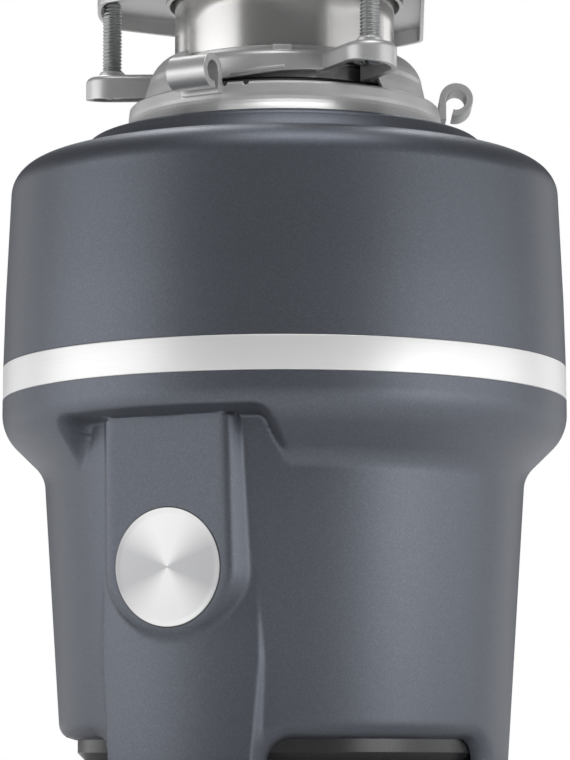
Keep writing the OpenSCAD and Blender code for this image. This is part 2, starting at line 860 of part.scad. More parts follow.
// Ear: a ledge inwards from the wall's rim, then up and over the upper ring's shoulder.
// Its ends are cut to pointed tips, undercut below and sloping back above.
module ear() {
    reach = 90;
    tilt_below = 26;
    tilt_above = 50;
    blunt = 0.3;
    difference() {
        rotate([0, 0, -90 - ear_tip_angle]) revolve(concat(
            [[lock_r - 1.4, slot_z], [ear_foot_r + 0.3, slot_z], [ear_foot_r, slot_z + 0.3],
             [ear_foot_r - 0.8, ear_tip_z - 0.4]],
            ellipse_arc(ear_r, ear_z, ear_a, ear_b, 0, 75, 7),
            backwards(ellipse_arc(ear_r, ear_z, ear_a - ear_t, ear_b - ear_t, 0, 75, 7)),
            [[ear_foot_r - 0.8 - ear_t, ear_tip_z - 0.4], [ear_foot_r - ear_t, slot_z + 0.3],
             [ear_foot_r - ear_t, slot_z - ear_t], [lock_r - 1.4, slot_z - ear_t]]
        ), 2 * ear_tip_angle);
        for (s = [-1, 1]) at_az(s * ear_tip_angle) {
            translate([0, 0, ear_tip_z + blunt]) rotate([0, -s * tilt_above, 0])
                translate([s > 0 ? 0 : -40, -reach, 0]) cube([40, reach, 40]);
            translate([0, 0, ear_tip_z - blunt]) rotate([0, s * tilt_below, 0])
                translate([s > 0 ? 0 : -40, -reach, -40]) cube([40, reach, 40]);
        }
    }
}

// Rolled lug: a curl open at its lower inner side, on a strip that rises from the ring's wall
module rolled_lug() {
    strip = lug_centre_z - wall_z;
    translate([0, -lug_centre_r, lug_centre_z]) rotate([90, 0, 90]) translate([0, 0, -lug_len / 2]) {
        rotate_extrude(angle = lug_turn) translate([lug_r - lug_wall, 0]) square([lug_wall, lug_len]);
        translate([lug_r - lug_wall, -strip, 0]) cube([lug_wall, strip, lug_len]);
    }
}

module lower_mounting_ring() {
    color(zinc_cast) {
        difference() {
            union() {
                lock_wall_ring();
                for (a = ear_azimuths) at_az(a) ear();
            }
            for (a = lug_azimuths, d = relief_angles) at_az(a + d)
                translate([0, -59.5, relief_z]) forward_cylinder(relief_r, 6);
        }
        for (a = lug_azimuths) at_az(a) rolled_lug();
    }
}

// Inverted U with rounded upper corners, w wide and open below
module channel_outline(w, t) {
    corner = 2.2;
    difference() {
        union() {
            translate([-w / 2, skirt_z]) square([w, lobe_top_z - corner - skirt_z]);
            translate([-w / 2 + corner, skirt_z]) square([w - 2 * corner, lobe_top_z - skirt_z]);
            for (s = [-1, 1]) translate([s * (w / 2 - corner), lobe_top_z - corner]) circle(r = corner);
        }
        translate([-w / 2 + t, skirt_z - 1]) square([w - 2 * t, lobe_top_z - skirt_z - t + 1]);
    }
}

// Hollow lobe that carries one mounting screw
module screw_lobe() {
    edge = 0.6;
    translate([0, -screw_circle_r, 0]) {
        intersection() {
            rotate_extrude() intersection() {
                channel_outline(2 * lobe_r, lobe_wall);
                translate([0, skirt_z - 1]) square([20, 20]);
            }
            translate([-20, -20, 0]) cube([40, 20, 400]);
        }
        rotate([90, 0, 0]) mirror([0, 0, 1]) linear_extrude(22) channel_outline(2 * lobe_r, lobe_wall);
        translate([0, 0, skirt_z + 3]) cylinder(r = 6.2, h = lobe_top_z - skirt_z - 3);
        translate([0, 0, lobe_top_z - 1]) cylinder(r = 5.1, h = boss_top_z - edge - lobe_top_z + 1);
        translate([0, 0, boss_top_z - edge]) cylinder(r1 = 5.1, r2 = 4.5, h = edge);
    }
}

// Inclined bead on the skirt that an ear rides up, ending in a step before the lobe
module slide_track() {
    length = skirt_r * PI * track_span / 180;
    intersection() {
        ring(skirt_r - 1.2, skirt_r + track_proud, skirt_z - 2, 12);
        translate([0, -skirt_r, track_z]) rotate([0, -atan(track_rise / length), 0])
            cube([2 * length, 12, track_h], center = true);
        translate([-length / 2, -skirt_r - 10, skirt_z]) cube([length, 20, 10]);
    }
}

// Space under the lower edge of one third of the ring, which slopes up to the lobe
module sloping_edge() {
    translate([0, -30, 0]) rotate([90, 0, 0]) linear_extrude(60) polygon([
        [-43, skirt_z - 9], [-43, skirt_z], [-38, skirt_z + 0.2], [-25, skirt_z + 2],
        [-lobe_r - 0.1, skirt_z + 2.7], [lobe_r + 0.6, skirt_z], [lobe_r + 0.6, skirt_z - 9]
    ]);
}

module upper_mounting_ring() {
    step_z = 274.5;
    inner_r = skirt_r - skirt_wall;
    top_r = skirt_r - skirt_arc;
    color(zinc_cast) difference() {
        union() {
            difference() {
                union() {
                    revolve(concat(
                        [[neck_r + 0.4, step_z], [neck_r + 0.4, collar_z], [collar_r, collar_z],
                         [collar_r, ring_top_z]],
                        backwards(round_arc(top_r, ring_top_z - skirt_arc, skirt_arc, 0, 90, 6)),
                        [[skirt_r, skirt_z], [inner_r, skirt_z], [inner_r, step_z]]
                    ));
                    for (a = lobe_azimuths) at_az(a) screw_lobe();
                    for (a = lobe_azimuths) at_az(a + stop_angle)
                        translate([-stop_w / 2, -skirt_r + 1, ring_top_z - 1]) cube([stop_w, 3.4, 2.4]);
                }
                for (a = lobe_azimuths) at_az(a) {
                    translate([-lobe_r + lobe_wall, -56, skirt_z - 1])
                        cube([2 * (lobe_r - lobe_wall), 10, 8]);
                    sloping_edge();
                }
            }
            for (a = lobe_azimuths) at_az(a + track_angle) slide_track();
        }
        for (a = lobe_azimuths) at_az(a) translate([0, -screw_circle_r, 250])
            cylinder(r = screw_r + 0.07, h = 40);
    }
}

module snap_ring() {
    color(bright_steel) rotate([0, 0, 100]) rotate_extrude(angle = 340)
        translate([neck_r - 0.9, 272.7]) square([3, 1.5]);
}

// Screw that bears up on the backup flange, with a slotted lower end
module mounting_screw(a) {
    color([0.55, 0.56, 0.57]) at_az(a) translate([0, -screw_circle_r, 0]) difference() {
        union() {
            translate([0, 0, screw_foot_z]) cylinder(r = screw_r, h = screw_top_z - screw_foot_z - 1.5);
            translate([0, 0, screw_top_z - 1.5]) cylinder(r1 = screw_r, r2 = screw_r - 1.4, h = 1.5);
        }
        translate([-0.7, -5, screw_foot_z - 1]) cube([1.4, 10, 2.6]);
    }
}

module mounting_screw_left() {
    mounting_screw(lobe_azimuths[0]);
}

module mounting_screw_right() {
    mounting_screw(lobe_azimuths[1]);
}

module mounting_screw_rear() {
    mounting_screw(lobe_azimuths[2]);
}

// Point in plan at an azimuth
function at_plan(r, a) = [r * sin(a), -r * cos(a)];

// Point on a corner of the backup flange: t is the azimuth that the corner faces there, from the lobe's
function corner_point(a, side, t, d) =
    at_plan(plate_r - plate_corner_r, a + side * plate_corner_angle)
    + at_plan(plate_corner_r - d, a + side * t);

// Outline of the backup flange, moved inwards by d: for each screw a corner, a round end and a corner,
// with the flats between them
module backup_outline(d) {
    turn = 60 - plate_corner_angle;
    polygon([
        for (a = lobe_azimuths) each concat(
            [for (i = [0:5]) corner_point(a, -1, 60 - turn * i / 5, d)],
            [for (i = [1:7]) at_plan(plate_r - d, a + plate_corner_angle * (i / 4 - 1))],
            [for (i = [5:-1:0]) corner_point(a, 1, 60 - turn * i / 5, d)]
        )
    ]);
}

// Pressed plate with a turned-down edge and a turned-down lip round its hole
module backup_flange() {
    color(zinc_cast) difference() {
        union() {
            translate([0, 0, plate_z]) linear_extrude(plate_t) backup_outline(0);
            translate([0, 0, plate_z - skirt_drop]) linear_extrude(skirt_drop + 0.5) difference() {
                backup_outline(0);
                backup_outline(plate_wall);
            }
            ring(plate_lip_r - plate_wall, plate_lip_r, plate_z - 3, 4);
        }
        translate([0, 0, plate_z - 10]) cylinder(r = plate_lip_r - plate_wall, h = 20);
    }
}

module fibre_gasket() {
    color([0.35, 0.33, 0.28]) ring(neck_r + 1, 55.4, plate_z + plate_t, fibre_t);
}

// Polished flange: drain bowl above, long neck with the snap ring's groove below
module sink_flange() {
    bore = neck_r - neck_wall;
    color(bright_steel) difference() {
        revolve([
            [bore, gasket_top_z], [neck_r, gasket_top_z], [neck_r, 272.6], [neck_r - 1, 272.6],
            [neck_r - 1, 274.3], [neck_r, 274.3], [neck_r, sink_h + 1], [47.5, sink_h + 4],
            [rim_r - 1, rim_z], [rim_r, rim_z + 0.8], [rim_r - 1.5, rim_z + 2], [rim_r - 6, rim_z + 2.2],
            [47, sink_h + 4.8], [bore + 1, sink_h + 1], [bore, sink_h - 2]
        ]);
        translate([0, 0, gasket_top_z - 1]) cylinder(r = bore, h = sink_h - gasket_top_z - 2);
    }
}

upper_housing();
lower_housing();
trim_band();
badge_plate();
housing_screws();
sound_insulation();
grind_container();
container_screws();
shredder_ring();
turntable();
impeller_a();
impeller_b();
impeller_rivets();
turntable_bolt();
upper_end_bell();
shaft_seal();
upper_bearing();
rotor_shaft();
rotor_core();
stator_core();
stator_windings();
lower_bearing();
lower_end_frame();
motor_through_bolts();
start_switch();
centrifugal_actuator();
overload_protector();
reset_button();
terminal_cover();
terminal_cover_screw();
ground_screw();
dishwasher_inlet();
inlet_grommet();
inlet_plug();
mounting_gasket();
lower_mounting_ring();
upper_mounting_ring();
snap_ring();
mounting_screw_left();
mounting_screw_right();
mounting_screw_rear();
backup_flange();
fibre_gasket();
sink_flange();
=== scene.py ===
import math
import bpy
import numpy as np
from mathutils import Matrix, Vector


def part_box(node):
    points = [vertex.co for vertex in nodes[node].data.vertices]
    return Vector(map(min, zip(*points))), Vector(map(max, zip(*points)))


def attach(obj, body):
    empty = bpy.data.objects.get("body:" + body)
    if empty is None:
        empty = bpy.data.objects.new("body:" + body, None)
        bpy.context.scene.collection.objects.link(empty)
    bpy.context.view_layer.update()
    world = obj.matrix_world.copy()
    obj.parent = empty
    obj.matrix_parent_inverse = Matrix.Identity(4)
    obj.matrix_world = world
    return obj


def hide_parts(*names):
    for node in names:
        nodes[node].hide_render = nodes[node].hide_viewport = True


# Kitchen garbage disposal: finishes, moulded shells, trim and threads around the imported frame
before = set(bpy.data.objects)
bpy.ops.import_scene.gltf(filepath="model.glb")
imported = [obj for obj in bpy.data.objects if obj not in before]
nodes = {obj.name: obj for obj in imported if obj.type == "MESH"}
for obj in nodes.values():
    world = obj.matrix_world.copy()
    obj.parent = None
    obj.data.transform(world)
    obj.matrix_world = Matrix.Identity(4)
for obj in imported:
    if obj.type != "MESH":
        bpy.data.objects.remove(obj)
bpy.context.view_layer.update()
mm = 0.001
print("frame loaded:", len(nodes), "nodes")


def low(node):  # lowest corner of a frame node in millimetres
    return np.array(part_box(node)[0]) / mm


def high(node):  # highest corner of a frame node in millimetres
    return np.array(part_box(node)[1]) / mm


# Curves and surfaces, all in millimetres

def smoothStep(t):  # 3t^2 - 2t^3, with t held between 0 and 1
    t = np.clip(t, 0, 1)
    return t * t * (3 - 2 * t)


def softMax(a, b, k):
    # The larger of two heights. Where they differ by less than k, h runs from 0 to 1 across that difference and
    # k * h * (1 - h) is added, so that they meet in a fillet.
    h = np.clip(0.5 + 0.5 * (a - b) / k, 0, 1)
    return b + (a - b) * h + k * h * (1 - h)


def arc(centre, across, start, end, steps, up=None):
    # Centre plus (across * cos, up * sin) of an angle that runs from start to end in degrees. It is a circle
    # unless up is given.
    t = np.radians(np.linspace(start, end, steps))
    up = across if up is None else up
    return np.stack([centre[0] + across * np.cos(t), centre[1] + up * np.sin(t)], axis=1)


def roundedOutline(corners, steps=6, closed=True):
    # Each corner (x, y, r) gives way to the arc of radius r that touches both of its sides: its centre lies on
    # the corner's bisector, r / sin(half angle) away
    points = []
    count = len(corners)
    for i in range(count):
        here = np.array(corners[i][:2], float)
        r = corners[i][2]
        if r <= 0 or (not closed and i in (0, count - 1)):
            points.append(here[None, :])
            continue
        a = np.array(corners[i - 1][:2], float) - here
        b = np.array(corners[(i + 1) % count][:2], float) - here
        a /= np.linalg.norm(a)
        b /= np.linalg.norm(b)
        half = 0.5 * math.acos(np.clip(a @ b, -1, 1))
        reach = r / math.tan(half)
        middle = here + (a + b) / np.linalg.norm(a + b) * r / math.sin(half)
        p, q = here + a * reach - middle, here + b * reach - middle
        turn = math.atan2(p[0] * q[1] - p[1] * q[0], p @ q)
        t = np.linspace(0, turn, steps)[:, None]
        points.append(middle + p * np.cos(t) + np.array([-p[1], p[0]]) * np.sin(t))
    return np.concatenate(points)


def movedInwards(outline, d):  # every point of an open outline moved by d to its left
    step = np.gradient(outline, axis=0)
    step /= np.linalg.norm(step, axis=1, keepdims=True)
    return outline + d * np.stack([-step[:, 1], step[:, 0]], axis=1)


def atAzimuth(radius, azimuth, z):
    # (radius * sin, -radius * cos, z): azimuth 0 faces -Y and grows towards +X, in degrees
    t = np.radians(azimuth)
    return np.stack(np.broadcast_arrays(radius * np.sin(t), -radius * np.cos(t), z), axis=-1)


def gridFaces(rows, columns, closeRows, closeColumns):  # quads of a grid of points numbered row by row
    r = np.arange(rows if closeRows else rows - 1)[:, None]
    c = np.arange(columns if closeColumns else columns - 1)[None, :]
    up, side = (r + 1) % rows, (c + 1) % columns
    quads = np.stack([r * columns + c, r * columns + side, up * columns + side, up * columns + c], axis=-1)
    return quads.reshape(-1, 4)


def addObject(name, data):
    thing = bpy.data.objects.new(name, data)
    bpy.context.scene.collection.objects.link(thing)
    return thing


def newMesh(name, points, faces):  # points go from millimetres to metres and stay in the mesh's own vertices
    mesh = bpy.data.meshes.new(name)
    mesh.from_pydata(np.asarray(points).reshape(-1, 3) * mm, [], faces)
    return mesh


def makePiece(name, points, faces, material, body="root", sharpAngle=40):
    mesh = newMesh(name, points, faces)
    mesh.shade_smooth()
    mesh.set_sharp_from_angle(angle=math.radians(sharpAngle))
    mesh.materials.append(material)
    piece = addObject(name, mesh)
    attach(piece, body)
    return piece


def revolved(name, outline, material, columns, span=None, sharpAngle=40):
    # A closed outline (r, z) carried round the axis, or over a span of azimuths with flat ends
    outline = np.asarray(outline, float)
    whole = span is None
    azimuth = np.linspace(0, 360, columns, endpoint=False) if whole else np.linspace(*span, columns)
    points = atAzimuth(outline[None, :, 0], azimuth[:, None], outline[None, :, 1])
    faces = gridFaces(columns, len(outline), whole, True)[:, ::-1].tolist()
    if not whole:
        first = np.arange(len(outline))
        faces += [first[::-1].tolist(), (first + (columns - 1) * len(outline)).tolist()]
    return makePiece(name, points, faces, material, sharpAngle=sharpAngle)


def prism(outline, y0, y1):  # an outline (x, z) carried along Y and closed at both ends
    n = len(outline)
    ends = [np.stack([outline[:, 0], np.full(n, y), outline[:, 1]], axis=1) for y in (y0, y1)]
    faces = gridFaces(2, n, False, True)[:, ::-1].tolist()
    return np.concatenate(ends), faces + [list(range(n)), list(range(2 * n - 1, n - 1, -1))]


def cutAway(piece, points, faces):  # takes a closed solid out of a piece
    cutter = addObject("cutter", newMesh("cutter", points, faces))
    modifier = piece.modifiers.new("cut", "BOOLEAN")
    modifier.operation = "DIFFERENCE"
    modifier.solver = "EXACT"
    modifier.object = cutter
    depsgraph = bpy.context.evaluated_depsgraph_get()
    result = bpy.data.meshes.new_from_object(piece.evaluated_get(depsgraph))
    piece.modifiers.remove(modifier)
    piece.data = result
    bpy.data.objects.remove(cutter)


# Shader nodes

def feed(tree, socket, value):  # a link, a colour, a vector or a number for a socket
    if isinstance(value, bpy.types.NodeSocket):
        tree.links.new(value, socket)
    elif socket.type == "RGBA":
        socket.default_value = (*value[:3], 1)
    else:
        socket.default_value = value


def mathNode(tree, operation, *values):
    node = tree.nodes.new("ShaderNodeMath")
    node.operation = operation
    for socket, value in zip(node.inputs, values):
        feed(tree, socket, value)
    return node.outputs[0]


def vectorNode(tree, operation, a, b=None):  # b is a vector, or a number where the operation is SCALE
    node = tree.nodes.new("ShaderNodeVectorMath")
    node.operation = operation
    feed(tree, node.inputs[0], a)
    if b is not None:
        feed(tree, node.inputs["Scale" if operation == "SCALE" else 1], b)
    return node.outputs["Value" if operation in ("LENGTH", "DOT_PRODUCT") else "Vector"]


def mixColour(tree, factor, a, b):
    node = tree.nodes.new("ShaderNodeMix")
    node.data_type = "RGBA"
    for index, value in ((0, factor), (6, a), (7, b)):
        feed(tree, node.inputs[index], value)
    return node.outputs[2]


def noise(tree, vector, scale, detail, roughness):
    node = tree.nodes.new("ShaderNodeTexNoise")
    values = {"Vector": vector, "Scale": scale, "Detail": detail, "Roughness": roughness}
    for label, value in values.items():
        feed(tree, node.inputs[label], value)
    return node.outputs["Fac"]


def spread(tree, value, fromLow, fromHigh, toLow=0.0, toHigh=1.0):
    node = tree.nodes.new("ShaderNodeMapRange")
    values = {"Value": value, "From Min": fromLow, "From Max": fromHigh, "To Min": toLow, "To Max": toHigh}
    for label, v in values.items():
        feed(tree, node.inputs[label], v)
    return node.outputs["Result"]


def bump(tree, height, distance, normal=None):
    node = tree.nodes.new("ShaderNodeBump")
    node.inputs["Distance"].default_value = distance
    node.inputs["Strength"].default_value = 1.0
    feed(tree, node.inputs["Height"], height)
    if normal is not None:
        feed(tree, node.inputs["Normal"], normal)
    return node.outputs[0]


socketKinds = {"colour": "NodeSocketColor", "number": "NodeSocketFloat", "vector": "NodeSocketVector"}
finishOutputs = [("Colour", "colour"), ("Roughness", "number"), ("Height", "number")]
pattern = {
    "toothDetail": (3.0, 0.6), "toothShare": 0.65,  # detail and roughness of each noise
    "cloudDetail": (3.0, 0.5), "cloudShare": 0.35,
    "lineDetail": (4.0, 0.65),
    "flakePower": 3.0,  # the higher, the fewer flakes shine
    "wearAndHighlightRange": (0.01, 0.16), "wearSamples": 6,
}


def newGroup(name, inputs, outputs):
    group = bpy.data.node_groups.new(name, "ShaderNodeTree")
    for label, kind, value in inputs:
        socket = group.interface.new_socket(label, in_out="INPUT", socket_type=socketKinds[kind])
        socket.default_value = value
    for label, kind in outputs:
        group.interface.new_socket(label, in_out="OUTPUT", socket_type=socketKinds[kind])
    return group, group.nodes.new("NodeGroupInput").outputs, group.nodes.new("NodeGroupOutput").inputs


def varyFinish(group, given, result, change):
    # Colour times 1 + 2 * change * (tone change), and roughness plus change * (roughness change)
    toneGain = mathNode(group, "MULTIPLY", given["Tone Change"], 2.0)
    gain = mathNode(group, "MULTIPLY_ADD", change, toneGain, 1.0)
    feed(group, result["Colour"], vectorNode(group, "SCALE", given["Colour"], gain))
    rough = mathNode(group, "MULTIPLY_ADD", change, given["Roughness Change"], given["Roughness"])
    feed(group, result["Roughness"], rough)


def makeGrainGroup():
    # A share of a fine noise, the surface's tooth, plus a share of a coarse one, clouds of tone. The tooth
    # alone is the height.
    group, given, result = newGroup("surfaceGrain", [
        ("Vector", "vector", (0, 0, 0)), ("Colour", "colour", (0.5, 0.5, 0.5, 1)),
        ("Fine Scale", "number", 1500.0), ("Cloud Scale", "number", 40.0), ("Tone Change", "number", 0.1),
        ("Roughness", "number", 0.4), ("Roughness Change", "number", 0.1)], finishOutputs)
    fine = noise(group, given["Vector"], given["Fine Scale"], *pattern["toothDetail"])
    cloud = noise(group, given["Vector"], given["Cloud Scale"], *pattern["cloudDetail"])
    tooth = mathNode(group, "MULTIPLY", fine, pattern["toothShare"])
    clouds = mathNode(group, "MULTIPLY", cloud, pattern["cloudShare"])
    both = mathNode(group, "ADD", tooth, clouds)
    varyFinish(group, given, result, mathNode(group, "SUBTRACT", both, 0.5))
    feed(group, result["Height"], fine)
    return group


def makeBrushGroup():
    # Noise stretched along two of the three directions, so that it reads as fine parallel lines
    group, given, result = newGroup("brushLines", [
        ("Vector", "vector", (0, 0, 0)), ("Line Scale", "vector", (20, 20, 3000)),
        ("Colour", "colour", (0.7, 0.7, 0.7, 1)), ("Tone Change", "number", 0.1),
        ("Roughness", "number", 0.25), ("Roughness Change", "number", 0.15)], finishOutputs)
    stretched = vectorNode(group, "MULTIPLY", given["Vector"], given["Line Scale"])
    lines = noise(group, stretched, 1.0, *pattern["lineDetail"])
    varyFinish(group, given, result, mathNode(group, "SUBTRACT", lines, 0.5))
    feed(group, result["Height"], lines)
    return group


def makeFlakeGroup():
    # Every small cell of the surface shines by a power of its own random amount, and tilts by another
    group, given, result = newGroup("metalFlake", [
        ("Vector", "vector", (0, 0, 0)), ("Colour", "colour", (0.1, 0.1, 0.12, 1)),
        ("Flake Colour", "colour", (0.2, 0.2, 0.24, 1)), ("Scale", "number", 2200.0),
        ("Amount", "number", 0.3)], [("Colour", "colour"), ("Height", "number")])
    cells = group.nodes.new("ShaderNodeTexVoronoi")
    feed(group, cells.inputs["Vector"], given["Vector"])
    feed(group, cells.inputs["Scale"], given["Scale"])
    split = group.nodes.new("ShaderNodeSeparateColor")
    feed(group, split.inputs[0], cells.outputs["Color"])
    shine = mathNode(group, "POWER", split.outputs[0], pattern["flakePower"])
    factor = mathNode(group, "MULTIPLY", shine, given["Amount"])
    feed(group, result["Colour"], mixColour(group, factor, given["Colour"], given["Flake Colour"]))
    feed(group, result["Height"], split.outputs[1])
    return group


def makeEdgeGroup():
    # One minus the dot product of the rounded normal and the face's own: where it grows, the edge is rubbed and
    # painted lighter, partly wear and partly a painted highlight
    group, given, result = newGroup("edgeWearAndHighlight", [
        ("Colour", "colour", (0.5, 0.5, 0.5, 1)), ("Edge Wear And Highlight Colour", "colour", (0.8, 0.8, 0.8, 1)),
        ("Radius", "number", 0.0004), ("Strength", "number", 1.0)],
        [("Colour", "colour"), ("Mask", "number"), ("Normal", "vector")])
    rounded = group.nodes.new("ShaderNodeBevel")
    rounded.samples = pattern["wearSamples"]
    feed(group, rounded.inputs["Radius"], given["Radius"])
    plain = group.nodes.new("ShaderNodeNewGeometry").outputs["Normal"]
    bent = mathNode(group, "SUBTRACT", 1.0, vectorNode(group, "DOT_PRODUCT", rounded.outputs[0], plain))
    mask = spread(group, bent, *pattern["wearAndHighlightRange"], 0.0, given["Strength"])
    # edge colour: rubbed wear and a painted highlight on rounded edges
    feed(group, result["Colour"], mixColour(group, mask, given["Colour"], given["Edge Wear And Highlight Colour"]))
    feed(group, result["Mask"], mask)
    feed(group, result["Normal"], rounded.outputs[0])
    return group


grainGroup = makeGrainGroup()
brushGroup = makeBrushGroup()
flakeGroup = makeFlakeGroup()
edgeGroup = makeEdgeGroup()
print("shader groups made:", len(bpy.data.node_groups))


# Materials

def startMaterial(name, metallic=0.0):  # the material, its tree, its shader and its Object coordinates
    material = bpy.data.materials.new(name)
    material.use_nodes = True
    tree = material.node_tree
    shader = tree.nodes["Principled BSDF"]
    shader.inputs["Metallic"].default_value = metallic
    return material, tree, shader, tree.nodes.new("ShaderNodeTexCoord").outputs["Object"]


def place(tree, group, values):  # a group in a material, fed with numbers, colours or links
    node = tree.nodes.new("ShaderNodeGroup")
    node.node_tree = group
    for label, value in values.items():
        feed(tree, node.inputs[label], value)
    return node.outputs


def joinFinish(tree, shader, made, depth, edge, edgeColour, edgeStrength):
    # A group's colour, roughness and height go to the shader, over a rounded edge where there is one, rubbed
    # and painted lighter as a highlight
    colour, normal = made["Colour"], None
    if edge:
        # edges turn to the edge colour: rubbed wear and a painted highlight
        wornAndHighlit = place(tree, edgeGroup, {
            "Colour": colour, "Edge Wear And Highlight Colour": edgeColour, "Radius": edge * mm, "Strength": edgeStrength})
        colour, normal = wornAndHighlit["Colour"], wornAndHighlit["Normal"]
    feed(tree, shader.inputs["Base Color"], colour)
    feed(tree, shader.inputs["Roughness"], made["Roughness"])
    feed(tree, shader.inputs["Normal"], bump(tree, made["Height"], depth, normal))


rubAndHighlight = {"grain": 0.6, "brushed": 0.5, "brushedColour": (0.9, 0.9, 0.9)}  # how strongly edges are rubbed and painted lighter as a highlight


def grainMaterial(name, colour, metallic=0.0, roughness=0.5, change=0.1, tone=0.1, fine=1500.0, cloud=40.0,
                  depth=0.00002, edge=None, edgeColour=None):
    # Cast, moulded or plated finish: grain in tone, roughness and height
    material, tree, shader, where = startMaterial(name, metallic)
    grain = place(tree, grainGroup, {
        "Vector": where, "Colour": colour, "Fine Scale": fine, "Cloud Scale": cloud, "Tone Change": tone,
        "Roughness": roughness, "Roughness Change": change})
    joinFinish(tree, shader, grain, depth, edge, edgeColour or colour, rubAndHighlight["grain"])
    return material


def brushedMaterial(name, colour, lines, metallic=1.0, roughness=0.25, change=0.2, tone=0.08, depth=0.000004,
                    edge=None):
    # Brushed metal: fine lines along one direction
    material, tree, shader, where = startMaterial(name, metallic)
    brushed = place(tree, brushGroup, {
        "Vector": where, "Line Scale": lines, "Colour": colour, "Tone Change": tone, "Roughness": roughness,
        "Roughness Change": change})
    joinFinish(tree, shader, brushed, depth, edge, rubAndHighlight["brushedColour"], rubAndHighlight["brushed"])
    return material


shellFinish = {
    "colour": (0.112, 0.121, 0.142), "metallic": 0.8,
    "flake": (0.28, 0.30, 0.35), "flakeScale": 2600.0, "flakeAmount": 0.16,
    "fine": 1300.0, "cloud": 14.0, "tone": 0.10, "roughness": 0.46, "change": 0.10,
    "tooth": 0.000018, "flakeTilt": 0.3,  # the tilt is a share of the tooth
}


def makeShellPaint():
    # Satin metallic paint over a fine spark-eroded texture
    look = shellFinish
    material, tree, shader, where = startMaterial("shellPaint", look["metallic"])
    flakes = place(tree, flakeGroup, {
        "Vector": where, "Colour": look["colour"], "Flake Colour": look["flake"], "Scale": look["flakeScale"],
        "Amount": look["flakeAmount"]})
    grain = place(tree, grainGroup, {
        "Vector": where, "Colour": flakes["Colour"], "Fine Scale": look["fine"], "Cloud Scale": look["cloud"],
        "Tone Change": look["tone"], "Roughness": look["roughness"], "Roughness Change": look["change"]})
    feed(tree, shader.inputs["Base Color"], grain["Colour"])
    feed(tree, shader.inputs["Roughness"], grain["Roughness"])
    tooth = bump(tree, grain["Height"], look["tooth"])
    tilted = bump(tree, flakes["Height"], look["tooth"] * look["flakeTilt"], tooth)
    feed(tree, shader.inputs["Normal"], tilted)
    return material


spunFinish = {
    # dark, light and sector paint a reflection into the colour: bright sectors facing each other, darker
    # between
    "metallic": 0.55, "dark": (0.40, 0.40, 0.41), "light": (0.68, 0.68, 0.68), "paintedReflectionSector": (0.35, 0.95),
    "rim": (0.02165, 0.0220), "rimShadeColour": (0.05, 0.05, 0.05),  # radii in metres where the painted shade ring inside the rim fades in
    "hub": 0.0005,  # metres, inside which the sectors fade out
    "lines": 5200, "tone": 0.10, "roughness": 0.34, "change": 0.16, "depth": 0.000006,
}


def makeSpunSteel(centre):
    # Lines round the disc's centre, from a noise of the radius alone. The tone goes from dark to light with
    # |z| / radius: a painted reflection, two bright sectors facing each other. A painted shade ring lies inside the
    # rim, where the groove round the disc is in shadow.
    look = spunFinish
    material, tree, shader, where = startMaterial("spunSteelWithPaintedReflection", look["metallic"])
    shift = tree.nodes.new("ShaderNodeMapping")
    shift.inputs["Location"].default_value = [-c * mm for c in centre]
    feed(tree, shift.inputs["Vector"], where)
    split = tree.nodes.new("ShaderNodeSeparateXYZ")
    feed(tree, split.inputs[0], shift.outputs[0])
    x, z = split.outputs["X"], split.outputs["Z"]
    squares = mathNode(tree, "ADD", mathNode(tree, "MULTIPLY", x, x), mathNode(tree, "MULTIPLY", z, z))
    radius = mathNode(tree, "SQRT", squares)
    share = mathNode(tree, "DIVIDE", z, mathNode(tree, "MAXIMUM", radius, look["hub"]))
    paintedReflectionSector = spread(tree, mathNode(tree, "ABSOLUTE", share), *look["paintedReflectionSector"])
    # painted reflection: the colour goes from dark to light with |z| / radius
    spunWithPaintedReflection = mixColour(tree, paintedReflectionSector, look["dark"], look["light"])
    # painted shade: the dark ring inside the rim stands in for the shadow of the groove round the disc
    tone = mixColour(tree, spread(tree, radius, *look["rim"]), spunWithPaintedReflection, look["rimShadeColour"])
    join = tree.nodes.new("ShaderNodeCombineXYZ")
    feed(tree, join.inputs["X"], radius)
    brushed = place(tree, brushGroup, {
        "Vector": join.outputs[0], "Line Scale": (look["lines"], 0, 0), "Colour": tone,
        "Tone Change": look["tone"], "Roughness": look["roughness"], "Roughness Change": look["change"]})
    joinFinish(tree, shader, brushed, look["depth"], None, None, None)
    return material


# Line scales are per metre along X, Y and Z. Depths are in metres, and edges in millimetres.
roundLines, uprightLines = (14, 14, 2600), (2600, 2600, 14)
brushedFinishes = {
    "satinSteel": {"colour": (0.74, 0.74, 0.74), "lines": roundLines, "metallic": 0.4, "roughness": 0.40,
                   "change": 0.12, "tone": 0.05},
    "polishedSteel": {"colour": (0.72, 0.71, 0.70), "lines": uprightLines, "metallic": 0.85, "roughness": 0.24,
                      "change": 0.10},
    "chamberSteel": {"colour": (0.62, 0.62, 0.61), "lines": roundLines, "roughness": 0.32, "edge": 0.3},
    "springSteel": {"colour": (0.42, 0.42, 0.43), "lines": roundLines, "roughness": 0.26, "edge": 0.2},
    "shaftSteel": {"colour": (0.60, 0.60, 0.60), "lines": roundLines, "roughness": 0.20, "edge": 0.2},
    "laminationSteel": {"colour": (0.26, 0.26, 0.28), "lines": (8, 8, 2000), "roughness": 0.42, "tone": 0.4,
                        "depth": 0.00003},
    "copperWinding": {"colour": (0.62, 0.25, 0.10), "lines": (60, 60, 900), "roughness": 0.30, "tone": 0.4,
                      "depth": 0.0001},
}
